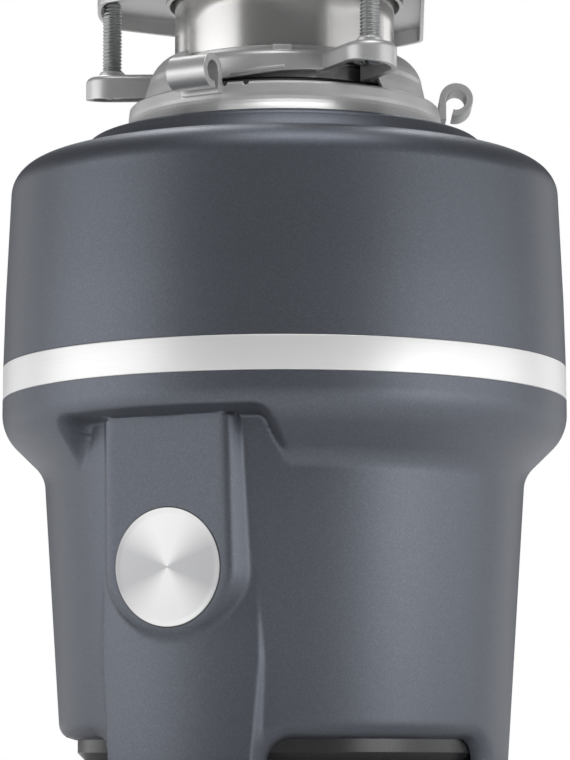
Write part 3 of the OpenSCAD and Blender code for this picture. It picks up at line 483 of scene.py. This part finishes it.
# edge colours are lighter than each finish: rubbed wear and a painted highlight on rounded edges
grainFinishes = {
    "pressedZinc": {"colour": (0.62, 0.62, 0.62), "metallic": 0.7, "roughness": 0.42, "change": 0.16,
                    "fine": 1100.0, "cloud": 60.0, "depth": 0.000012, "edge": 0.5,
                    "edgeColour": (0.80, 0.80, 0.80)},
    "castZinc": {"colour": (0.60, 0.60, 0.60), "metallic": 0.7, "roughness": 0.40, "change": 0.16,
                 "fine": 1300.0, "cloud": 70.0, "depth": 0.000014, "edge": 0.6,
                 "edgeColour": (0.80, 0.80, 0.80)},
    "castAlloy": {"colour": (0.46, 0.46, 0.47), "metallic": 1.0, "roughness": 0.46, "change": 0.2, "tone": 0.16,
                  "fine": 700.0, "cloud": 45.0, "depth": 0.00005, "edge": 0.6,
                  "edgeColour": (0.66, 0.66, 0.66)},
    "zincScrew": {"colour": (0.50, 0.50, 0.48), "metallic": 1.0, "roughness": 0.30, "tone": 0.12,
                  "fine": 1600.0, "depth": 0.000008, "edge": 0.25, "edgeColour": (0.75, 0.75, 0.73)},
    "threadedSteel": {"colour": (0.40, 0.41, 0.41), "metallic": 1.0, "roughness": 0.32, "change": 0.2,
                      "tone": 0.18, "fine": 1200.0, "cloud": 150.0, "depth": 0.00001},
    "bearingBronze": {"colour": (0.52, 0.34, 0.15), "metallic": 1.0, "roughness": 0.42, "tone": 0.2,
                      "fine": 2600.0, "edge": 0.2, "edgeColour": (0.7, 0.5, 0.26)},
    "blackRubber": {"colour": (0.018, 0.018, 0.018), "roughness": 0.55, "tone": 0.2, "fine": 1400.0,
                    "depth": 0.00003, "edge": 0.4, "edgeColour": (0.03, 0.03, 0.03)},
    "darkMoulding": {"colour": (0.022, 0.022, 0.024), "roughness": 0.26, "change": 0.12, "tone": 0.15,
                     "fine": 900.0, "cloud": 30.0, "depth": 0.000008, "edge": 0.3,
                     "edgeColour": (0.05, 0.05, 0.05)},
    "foam": {"colour": (0.10, 0.10, 0.11), "roughness": 0.9, "tone": 0.5, "fine": 600.0, "cloud": 80.0,
             "depth": 0.0004},
    "redPlastic": {"colour": (0.55, 0.02, 0.015), "roughness": 0.3, "tone": 0.06, "depth": 0.000006,
                   "edge": 0.3, "edgeColour": (0.7, 0.05, 0.04)},
    "greenScrew": {"colour": (0.03, 0.22, 0.07), "metallic": 0.7, "roughness": 0.35, "edge": 0.2,
                   "edgeColour": (0.2, 0.45, 0.25)},
    "fibre": {"colour": (0.16, 0.145, 0.12), "roughness": 0.85, "tone": 0.35, "fine": 900.0, "cloud": 220.0,
              "depth": 0.0001},
}
nodesOf = {  # the frame's nodes that keep their own shape, by finish
    "chamberSteel": ["grind_container", "shredder_ring", "turntable", "impeller_a", "impeller_b"],
    "polishedSteel": ["sink_flange"],
    "springSteel": ["snap_ring"],
    "shaftSteel": ["rotor_shaft"],
    "laminationSteel": ["rotor_core", "stator_core"],
    "copperWinding": ["stator_windings"],
    "pressedZinc": ["lower_mounting_ring", "backup_flange"],
    "castZinc": ["upper_mounting_ring"],
    "castAlloy": ["upper_end_bell"],
    "zincScrew": ["container_screws", "impeller_rivets", "turntable_bolt", "motor_through_bolts",
                  "terminal_cover_screw", "housing_screws"],
    "bearingBronze": ["upper_bearing", "lower_bearing"],
    "blackRubber": ["shaft_seal", "mounting_gasket", "dishwasher_inlet", "inlet_grommet", "inlet_plug"],
    "darkMoulding": ["lower_end_frame", "start_switch", "overload_protector", "terminal_cover"],
    "foam": ["sound_insulation"],
    "redPlastic": ["reset_button"],
    "greenScrew": ["ground_screw"],
    "fibre": ["centrifugal_actuator", "fibre_gasket"],
}

finishes = {"shellPaint": makeShellPaint()}
for finishName, values in brushedFinishes.items():
    finishes[finishName] = brushedMaterial(finishName, **values)
for finishName, values in grainFinishes.items():
    finishes[finishName] = grainMaterial(finishName, **values)
for finishName, nodeNames in nodesOf.items():
    for nodeName in nodeNames:
        for materialSlot in nodes[nodeName].material_slots:
            materialSlot.material = finishes[finishName]
print("materials made:", len(bpy.data.materials))


# The moulded casing: what both shells share, then the lower one's front and foot

casing = {
    "wall": 3.0,  # of both mouldings
    "bulgeHeight": 139.0, "bulgeArc": 18.0, "waistArc": 13.0, "waistHeight": 109.2, "waistInset": 4.15,
    "taperAngle": 3.8, "footRadius": 82.0, "footArc": 6.1, "footHeight": 17.5,
    "sideTop": 184.4, "sideDraw": 0.7, "shoulder": (96.5, 225.8, 12.2, 12.3), "shoulderEnd": 84.0,
    "crease": (82.0, 239.6), "creaseFillet": 2.2, "capFoot": (79.6, 242.5), "capCentre": (76.2, 245.0),
    "capArc": 3.0, "mouth": 52.0, "mouthEdge": 0.8,
    "bandSeat": 0.9,  # how deep the trim band's groove is
    "seam": 0.1,  # how far each shell stops short of the middle of that groove
}
bandLow, bandHigh = low("trim_band")[2] - 0.1, high("trim_band")[2] + 0.1
bulgeRadius = high("lower_housing")[0]
shellRadius = high("trim_band")[0]
seamZ = (bandLow + bandHigh) / 2
floorSlope = math.tan(math.radians(casing["taperAngle"]))
footFace = casing["footRadius"] + casing["footArc"]


def floorRadius(z):  # foot radius plus height times the taper's slope, which is also the pocket's floor
    return footFace + (z - casing["footHeight"]) * floorSlope


def outerRadius(z):
    # From the top: upright bulge, convex arc, straight line at 45 degrees, concave arc, then the taper
    bulge, waist = casing["bulgeArc"], casing["waistArc"]
    bulgeZ, waistZ = casing["bulgeHeight"], casing["waistHeight"]
    waistR = bulgeRadius - casing["waistInset"]
    convex = bulgeRadius - bulge + np.sqrt(np.clip(bulge ** 2 - np.clip(bulgeZ - z, 0, bulge) ** 2, 0, None))
    concave = waistR - np.sqrt(np.clip(waist ** 2 - (z - waistZ) ** 2, 0, None))
    c = math.sqrt(0.5)
    high45, low45 = bulgeZ - bulge * c, waistZ + waist * c
    r0, r1 = bulgeRadius - bulge + bulge * c, waistR - waist * c
    slope = r1 + (r0 - r1) * (z - low45) / (high45 - low45)
    r = np.where(z > high45, convex, np.where(z > low45, slope, concave))
    return np.where(z > waistZ + waist * math.sin(math.radians(casing["taperAngle"])), r, floorRadius(z))


front = {
    "pocketHalfWidth": 45.5, "pocketTop": 133.2, "pocketCorner": 6.0, "pocketWall": 3.8,
    "tongueHalfWidth": 24.5, "tongueFace": 95.0, "tongueLean": 2.4, "tongueDraft": 35.0, "tongueEdge": 0.7,
    "tongueFillet": 0.7, "badgeHeight": 74.6,
    "legRadius": 91.5, "legBevel": 1.7, "legHalfWidth": (28.6, 32.3), "legWidthAt": (4, 40),
    "legTop": 80.0, "legFade": 35.0, "legFillet": (0.05, 3.0),  # at its top, and the most it grows by below
    "clearance": 3,  # above the pocket's top, beyond which the plain bulge stays
}
notch = {"azimuths": (-55, 55, 180), "halfWidth": 47.3, "height": 12.0, "corner": 9.0, "lip": 6.1}
grid = {
    "seat": (0.35, 0.05),  # rows above and below the groove's lower edge
    "bulge": (139.6, 6),  # from the groove down to this height, in so many rows
    "spans": ((139.0, 104.0, 65), (104.0, 52.0, 51), (52.0, 42.0, 5)),  # from, to, rows
    "footRows": 26, "footPower": 0.9,  # from the last of these down to the lower edge
    "ease": 0.35,  # share of a smooth step in how columns leave the straight for the notched edge
    "innerStart": (0, 2, 6), "innerFrom": 10, "innerRows": 26,  # outer rows that the inner face repeats
    "columns": 46, "frontColumns": 118, "frontWithin": 40,  # in half a notch, and within these degrees in front
    "tongueBlur": 2.0, "pocketBlur": 4.0, "crispness": 3,  # how far the closer columns spread, and how close
    "samples": 1500,  # along half a notch, from which its columns are picked
}


def boxDistance(x, z, halfWidth, top, corner):
    # Distance to a box that is open below and has round upper corners: negative inside
    dx, dz = np.abs(x) - (halfWidth - corner), z - (top - corner)
    outside = np.hypot(np.clip(dx, 0, None), np.clip(dz, 0, None))
    return outside + np.minimum(np.maximum(dx, dz), 0) - corner


def frontRadius(azimuth, z):
    # The bulge, less the pocket's depth times a smooth step of the distance inside its outline, then the soft
    # larger of that, the leg and the tongue. The leg is a cylinder that bevels off beyond its half width. The
    # tongue is a leaning plane that falls away, by a soft plus, outside two upright sides and a round end.
    t = np.radians(azimuth)
    base = outerRadius(z)
    facing = np.cos(t) > 0.5
    distance = boxDistance(
        base * np.sin(t), z, front["pocketHalfWidth"], front["pocketTop"], front["pocketCorner"])
    sunk = smoothStep(-distance / front["pocketWall"])
    inPocket = base - (base - floorRadius(z)) * sunk
    x = inPocket * np.sin(t)
    legHalf = np.interp(z, front["legWidthAt"], front["legHalfWidth"])
    leg = front["legRadius"] - front["legBevel"] * np.clip(np.abs(x) - legHalf, 0, None)
    least, growth = front["legFillet"]
    fillet = least + growth * smoothStep((front["legTop"] - z) / front["legFade"])
    withLeg = np.where(z < front["legTop"], softMax(inPocket, leg, fillet), inPocket)
    lean = math.tan(math.radians(front["tongueLean"]))
    face = front["tongueFace"] + (z - front["badgeHeight"]) * lean
    fromTongue = np.hypot(x, np.clip(front["badgeHeight"] - z, 0, None)) - front["tongueHalfWidth"]
    edge = front["tongueEdge"]
    beyond = edge * np.logaddexp(0, fromTongue / edge)
    drafted = face - beyond / math.tan(math.radians(front["tongueDraft"]))
    tongue = drafted / np.clip(np.cos(t), 0.5, 1)
    withTongue = softMax(withLeg, tongue, front["tongueFillet"])
    return np.where(facing & (z < front["pocketTop"] + front["clearance"]), withTongue, inPocket)


def crispColumns(x, edge, width):  # crispness times exp(-((x - edge) / width)^2), for closer columns at an edge
    return grid["crispness"] * np.exp(-((x - edge) / width) ** 2)


def halfNotch(centre, side, halfGap):
    # The lower edge from a notch's middle to halfway to the next notch: notch top, corner arc, notch side, leg
    # bottom. Its points are even in length along that path, but closer at the edges of the tongue and pocket.
    # Gives rows of azimuths, heights, and the azimuths that the columns have higher up.
    w, h, r = notch["halfWidth"], notch["height"], notch["corner"]
    outline = np.concatenate([[[0, h]], arc((w - r, h - r), r, 90, 0, 9), [[w, 0]]])
    azimuths = np.append(np.degrees(np.arcsin(outline[:, 0] / footFace)), halfGap)
    heights = np.append(outline[:, 1], 0)
    steps = np.hypot(np.diff(azimuths) * footFace * math.pi / 180, np.diff(heights))
    length = np.concatenate([[0], np.cumsum(steps)])
    fine = np.linspace(0, length[-1], grid["samples"])
    x = np.abs(footFace * np.sin(np.radians(centre + side * fine / length[-1] * halfGap)))
    atTongue = crispColumns(x, front["tongueHalfWidth"], grid["tongueBlur"])
    atPocket = crispColumns(x, front["pocketHalfWidth"], grid["pocketBlur"])
    wanted = 1 + atTongue + atPocket
    share = np.cumsum(wanted) / wanted.sum()
    fromFront = abs((centre + side * halfGap / 2 + 180) % 360 - 180)
    count = grid["frontColumns"] if fromFront < grid["frontWithin"] else grid["columns"]
    along = np.interp(np.linspace(0, 1, count, endpoint=False), share - share[0], fine)
    columns = np.stack([np.interp(along, length, azimuths), np.interp(along, length, heights),
                        along / length[-1] * halfGap])
    if side < 0:
        columns = np.append(columns[:, 1:], [[halfGap], [0], [halfGap]], axis=1)[:, ::-1] * [[-1], [1], [-1]]
    return columns + [[centre], [0], [centre]]


def casingEdge():  # half a notch to either side of each notch's middle, in order round the casing
    centres = sorted(a % 360 for a in notch["azimuths"])
    halves = []
    for i, centre in enumerate(centres):
        for side, neighbour in ((-1, centres[i - 1]), (1, centres[(i + 1) % len(centres)])):
            halves.append(halfNotch(centre, side, ((side * (neighbour - centre)) % 360) / 2))
    columns = np.concatenate(halves, axis=1)
    return columns[:, np.argsort(columns[2])]


def notchCurl(az, z):
    # How far the edge curls inwards round a notch: a quarter circle, lip - sqrt(lip^2 - s^2), where s is the
    # lip's radius less the distance to the notch
    lip = notch["lip"]
    curl = np.zeros_like(az)
    for centre in notch["azimuths"]:
        x = footFace * np.sin(np.radians(az - centre))
        near = np.cos(np.radians(az - centre)) > 0.5
        distance = boxDistance(x, z, notch["halfWidth"], notch["height"], notch["corner"])
        inward = lip - np.sqrt(np.clip(lip ** 2 - np.clip(lip - distance, 0, lip) ** 2, 0, None))
        curl = np.where(near, np.maximum(curl, inward), curl)
    return curl


def innerWall(outer):
    # Every few rows of the outer face, moved inwards along the face's own normal by the wall
    along = np.gradient(outer, axis=0)
    around = np.roll(outer, -1, 1) - np.roll(outer, 1, 1)
    normal = np.cross(along, around)
    normal /= np.linalg.norm(normal, axis=-1, keepdims=True)
    rest = np.linspace(grid["innerFrom"], len(outer) - 1, grid["innerRows"]).astype(int)
    rows = np.unique(np.concatenate([grid["innerStart"], rest]))
    return (outer - normal * casing["wall"])[rows[::-1]]


def lowerShell():
    # Rows of columns that run straight down, and below the last plain row spread out along the notched edge.
    # The radius is frontRadius less notchCurl, and in the band's groove the shell's radius less the groove.
    edgeAz, edgeZ, columnAz = casingEdge()
    rows = [[seamZ - casing["seam"], bandLow + grid["seat"][0]],
            np.linspace(bandLow - grid["seat"][1], *grid["bulge"])]
    rows += [np.linspace(*span, endpoint=False) for span in grid["spans"]]
    plainZ = np.concatenate(rows)
    joinZ = grid["spans"][-1][1]
    down = np.linspace(0, 1, grid["footRows"])[:, None]
    towardsEdge = smoothStep(down) * grid["ease"] + down * (1 - grid["ease"])
    footZ = joinZ + (edgeZ - joinZ) * down ** grid["footPower"]
    az = np.concatenate([np.repeat(columnAz[None, :], len(plainZ), 0),
                         columnAz + (edgeAz - columnAz) * towardsEdge])
    z = np.concatenate([np.repeat(plainZ[:, None], len(columnAz), 1), footZ])
    r = np.where(z > bandLow, shellRadius - casing["bandSeat"], frontRadius(az, z))
    outer = atAzimuth(r - notchCurl(az, z), az, z)
    points = np.concatenate([outer, innerWall(outer)])
    faces = gridFaces(len(points), points.shape[1], True, True).tolist()
    piece = makePiece("lowerShell", points, faces, finishes["shellPaint"], sharpAngle=50)
    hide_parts("lower_housing")
    return piece


def upperOutline():
    # Side, shoulder ellipse, roof, rounded crease, cap side, cap edge, flat top, rounded mouth
    *shoulder, across, up = casing["shoulder"]
    capR, capZ = casing["capCentre"]
    top, mouth, edge = capZ + casing["capArc"], casing["mouth"], casing["mouthEdge"]
    side = [shellRadius - casing["sideDraw"], casing["sideTop"]]
    corner = arc(shoulder, across, 0, casing["shoulderEnd"], 30, up)
    roofStart = arc(shoulder, across, 0, casing["shoulderEnd"], 2, up)[-1]
    creaseCorners = [(*roofStart, 0), (*casing["crease"], casing["creaseFillet"]), (*casing["capFoot"], 0)]
    crease = roundedOutline(creaseCorners, 8, closed=False)
    return np.concatenate([
        np.linspace([shellRadius, bandHigh], side, 12),
        np.linspace(side, [shoulder[0] + across, shoulder[1]], 12)[1:-1],
        corner, np.linspace(roofStart, crease[1], 6)[1:-1], crease[1:-1],
        arc((capR, capZ), casing["capArc"], 8, 90, 14),
        np.linspace([capR - 2, top], [mouth + 3, top], 5),
        arc((mouth + edge, top - edge), edge, 90, 180, 5)])


def upperShell():
    # The outer outline with the groove's half below it, and every second point of it moved inwards by the wall
    groove, wall = shellRadius - casing["bandSeat"], casing["wall"]
    seam = seamZ + casing["seam"]
    outline = upperOutline()
    kept = outline[(outline[:, 0] > casing["mouth"] + 3) & (outline[:, 1] > bandHigh + 1)][::2]
    closed = np.concatenate([
        [[groove, seam], [groove, bandHigh - 0.3]], outline,
        [[casing["mouth"], outline[-5, 1] - wall]], movedInwards(kept, wall)[::-1],
        [[shellRadius - wall, seam]]])
    piece = revolved("upperShell", closed, finishes["shellPaint"], 256, sharpAngle=50)
    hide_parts("upper_housing")
    return piece


outlet = {"halfWidth": 47.0, "halfHeight": 27.0, "corner": 10.0, "below": 21.0}  # below the end bell's top
inlet = {"azimuth": 225.0, "hole": 15.2}
cutReach = (60.0, 130.0)  # from inside the wall to outside it
outletZ = high("upper_end_bell")[2] - outlet["below"]
inletZ = (low("inlet_plug")[2] + high("inlet_plug")[2]) / 2


def outletBlock():  # a rounded rectangle carried along +Y
    w, h, r = outlet["halfWidth"], outlet["halfHeight"], outlet["corner"]
    corners = [(-w, outletZ - h, r), (w, outletZ - h, r), (w, outletZ + h, r), (-w, outletZ + h, r)]
    return prism(roundedOutline(corners, 12), *cutReach)


def inletRod():  # a circle carried along -Y and turned to the inlet's azimuth
    points, faces = prism(arc((0, inletZ), inlet["hole"], 0, 360, 65)[:-1], -cutReach[1], -cutReach[0])
    x, y, z = points.T
    t = math.radians(inlet["azimuth"])
    return np.stack([x * math.cos(t) - y * math.sin(t), x * math.sin(t) + y * math.cos(t), z], axis=1), faces


lowerPiece = lowerShell()
upperPiece = upperShell()
cutAway(lowerPiece, *outletBlock())
cutAway(upperPiece, *outletBlock())
cutAway(upperPiece, *inletRod())
print("casing made")


# Trim band and badge

band = {"inside": 0.8, "proud": 0.05, "innerEdge": 0.1, "outerEdge": 0.45, "outletGap": 0.5, "columns": 280}


def trimBand():
    # A thin strip with rounded long edges, open at the back over the outlet
    inside, outside = shellRadius - band["inside"], shellRadius + band["proud"]
    bottom, top = bandLow + 0.1, bandHigh - 0.1
    corners = [(inside, bottom, band["innerEdge"]), (outside, bottom, band["outerEdge"]),
               (outside, top, band["outerEdge"]), (inside, top, band["innerEdge"])]
    end = 180 - math.degrees(math.asin((outlet["halfWidth"] + band["outletGap"]) / shellRadius))
    piece = revolved("trimBand", roundedOutline(corners), finishes["satinSteel"],
                     band["columns"], span=(-end, end))
    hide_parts("trim_band")


badge = {
    "radius": 22.4, "crown": 0.25, "edge": 0.5, "edgeDrop": 0.35, "back": 1.55, "proud": 0.3, "columns": 128,
}


def badgeDisc():
    # A profile (r, depth) turned about the badge's own axis and leant with the tongue. The face falls by
    # crown * (r / radius)^2 and ends in a rounded edge.
    radius, crown, edge = badge["radius"], badge["crown"], badge["edge"]
    faceR = np.linspace(0.5, radius - 3 * edge, 14)
    profile = np.concatenate([
        [[0, 0]], np.stack([faceR, -crown * (faceR / radius) ** 2], axis=1),
        arc((radius - edge, -crown - badge["edgeDrop"]), edge, 90, 0, 6),
        [[radius, -badge["back"]], [0, -badge["back"]]]])
    turn = np.linspace(0, 2 * math.pi, badge["columns"], endpoint=False)
    r, depth = profile[:, :1], profile[:, 1:]
    lean = math.radians(front["tongueLean"])
    side, rise = r * np.cos(turn), r * np.sin(turn)
    proud = depth + badge["proud"] + 0 * turn
    y = -front["tongueFace"] - proud * math.cos(lean) - rise * math.sin(lean)
    z = front["badgeHeight"] + rise * math.cos(lean) - proud * math.sin(lean)
    points = np.stack([side, y, z], axis=-1)
    faces = gridFaces(len(profile), badge["columns"], False, True).tolist()
    spunWithPaintedReflection = makeSpunSteel((0, -front["tongueFace"], front["badgeHeight"]))
    piece = makePiece("badgeDisc", points, faces, spunWithPaintedReflection, sharpAngle=45)
    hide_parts("badge_plate")


trimBand()
badgeDisc()
print("trim made")


# Threaded mounting screws

screw = {
    "pitch": 1.41, "depth": 0.62, "crest": 0.8,  # a crest below 1 leaves narrower crests than roots
    "columns": 40, "rowsPerTurn": 9, "chamfer": 1.5, "chamferDepth": 1.4, "slot": 1.4, "slotDepth": 1.6,
}


def mountingScrew(nodeName, body):
    # Radius less depth * ((1 - cos(phase)) / 2)^crest, with the phase of a helix, cut down to a chamfer at
    # both ends
    lo, hi = low(nodeName), high(nodeName)
    radius = (hi[0] - lo[0]) / 2
    cx, cy = (lo[0] + hi[0]) / 2, (lo[1] + hi[1]) / 2
    rows, n = int((hi[2] - lo[2]) / screw["pitch"] * screw["rowsPerTurn"]), screw["columns"]
    z = np.linspace(lo[2], hi[2], rows)[:, None]
    t = np.linspace(0, 2 * math.pi, n, endpoint=False)[None, :]
    phase = 2 * math.pi * (z / screw["pitch"] - t / (2 * math.pi))
    thread = radius - screw["depth"] * (0.5 - 0.5 * np.cos(phase)) ** screw["crest"]
    fromEnd = np.minimum(z - lo[2], hi[2] - z)
    drop = screw["chamferDepth"]
    r = np.minimum(thread, radius - drop + drop * np.clip(fromEnd / screw["chamfer"], 0, 1))
    side = np.stack(np.broadcast_arrays(cx + r * np.cos(t), cy + r * np.sin(t), z), axis=-1).reshape(-1, 3)
    points = np.concatenate([side, [[cx, cy, lo[2]], [cx, cy, hi[2]]]])
    ring, last = np.arange(n), (rows - 1) * n
    lowEnd = np.stack([(ring + 1) % n, ring, np.full(n, rows * n)], axis=1)
    highEnd = np.stack([last + ring, last + (ring + 1) % n, np.full(n, rows * n + 1)], axis=1)
    faces = gridFaces(rows, n, False, True).tolist() + lowEnd.tolist() + highEnd.tolist()
    pieceName = nodeName.replace("mounting_", "threaded_")
    piece = makePiece(pieceName, points, faces, finishes["threadedSteel"], body, 70)
    w, d = screw["slot"] / 2, screw["slotDepth"]
    slotOutline = np.array([[cx - w, lo[2] - 1], [cx + w, lo[2] - 1], [cx + w, lo[2] + d], [cx - w, lo[2] + d]])
    cutAway(piece, *prism(slotOutline, cy - radius - 1, cy + radius + 1))
    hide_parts(nodeName)


for side in ("left", "right", "rear"):
    mountingScrew("mounting_screw_" + side, "screw_" + side)
print("screws made")


# Camera, lights, background and floor

camera = {"azimuth": 27.0, "aim": -0.007, "pitch": 6.85, "distance": 1277.0, "height": 0.6, "lens": 153.64}


def makeCamera():
    data = bpy.data.cameras.new("camera")
    data.lens = camera["lens"]
    data.clip_start = 0.01
    data.clip_end = 50
    view = addObject("camera", data)
    view.location = atAzimuth(camera["distance"], camera["azimuth"], camera["height"]) * mm
    turn = math.radians(camera["azimuth"] + camera["aim"])
    view.rotation_euler = (math.radians(90 + camera["pitch"]), 0, turn)
    bpy.context.scene.camera = view


lights = {  # azimuth from the camera's, distance and height in metres, size, power, height that it is aimed at
    "leftBox": (-76, 1.39, 0.22, (1.5, 0.8), 8.8, 0.16),
    "rightBox": (74, 1.39, 0.16, (1.7, 0.8), 8.2, 0.16),
    "leftRimBox": (-130, 1.39, 0.3, (0.6, 0.8), 1.6, 0.16),
    "rightRimBox": (132, 1.39, 0.3, (0.6, 0.8), 1.8, 0.16),
    "lowRightBox": (50, 0.9, 0.09, (0.45, 0.16), 0.8, 0.07),
    "topFrontBox": (10, 0.66, 1.4, (1.0, 0.5), 8.0, 0.16),
    "topBackBox": (180, 0.66, 1.4, (1.0, 0.5), 12.5, 0.16),
}


def softBox(name, offset, distance, height, size, power, target):
    # A rectangular lamp on a circle round the object, turned to face it
    azimuth = math.radians(camera["azimuth"] + offset)
    data = bpy.data.lights.new(name, "AREA")
    data.shape = "RECTANGLE"
    data.size, data.size_y = size
    data.energy = power
    lamp = addObject(name, data)
    lamp.location = (distance * math.sin(azimuth), -distance * math.cos(azimuth), height)
    lamp.rotation_euler = (math.radians(90) - math.atan2(height - target, distance), 0, azimuth)


studio = {"light": 0.42, "inReflections": 0.06}
floor = {
    "size": 6000.0, "colour": (0.82, 0.82, 0.82), "roughness": 0.9,
    "fade": (0.25, 1.1),  # metres from the object where the floor starts and ends its turn to white
    "inReflections": 0.15,
}


def makeWorld():
    # White to the camera and through glass, a pale light on matt surfaces, and nearly dark in reflections,
    # where the soft boxes do the work
    world = bpy.data.worlds.new("studio")
    bpy.context.scene.world = world
    world.use_nodes = True
    tree = world.node_tree
    path = tree.nodes.new("ShaderNodeLightPath")
    seen = mathNode(tree, "MAXIMUM", path.outputs["Is Camera Ray"], path.outputs["Is Transmission Ray"])
    dimming = studio["inReflections"] - studio["light"]
    plain = mathNode(tree, "MULTIPLY_ADD", path.outputs["Is Glossy Ray"], dimming, studio["light"])
    background = tree.nodes["Background"]
    background.inputs["Color"].default_value = (1, 1, 1, 1)
    feed(tree, background.inputs["Strength"], mathNode(tree, "MAXIMUM", seen, plain))


def makeFloor():
    # Pale matt floor that turns to plain white away from the object
    size = floor["size"]
    points = [(-size, -size, 0), (size, -size, 0), (size, size, 0), (-size, size, 0)]
    mesh = newMesh("floor", points, [(0, 1, 2, 3)])
    material, tree, shader, where = startMaterial("paleFloor")
    shader.inputs["Base Color"].default_value = (*floor["colour"], 1)
    shader.inputs["Roughness"].default_value = floor["roughness"]
    fade = spread(tree, vectorNode(tree, "LENGTH", where), *floor["fade"])
    path = tree.nodes.new("ShaderNodeLightPath")
    glossy = mathNode(tree, "MULTIPLY", path.outputs["Is Glossy Ray"], floor["inReflections"])
    seen = mathNode(tree, "MAXIMUM", path.outputs["Is Camera Ray"], glossy)
    mix = tree.nodes.new("ShaderNodeMixShader")
    feed(tree, mix.inputs[0], mathNode(tree, "MULTIPLY", fade, seen))
    feed(tree, mix.inputs[1], shader.outputs[0])
    feed(tree, mix.inputs[2], tree.nodes.new("ShaderNodeEmission").outputs[0])
    feed(tree, tree.nodes["Material Output"].inputs["Surface"], mix.outputs[0])
    mesh.materials.append(material)
    addObject("floor", mesh)


makeCamera()
makeWorld()
makeFloor()
for lightName, values in lights.items():
    softBox(lightName, *values)
bpy.context.scene.view_settings.view_transform = "Standard"
print("stage made")
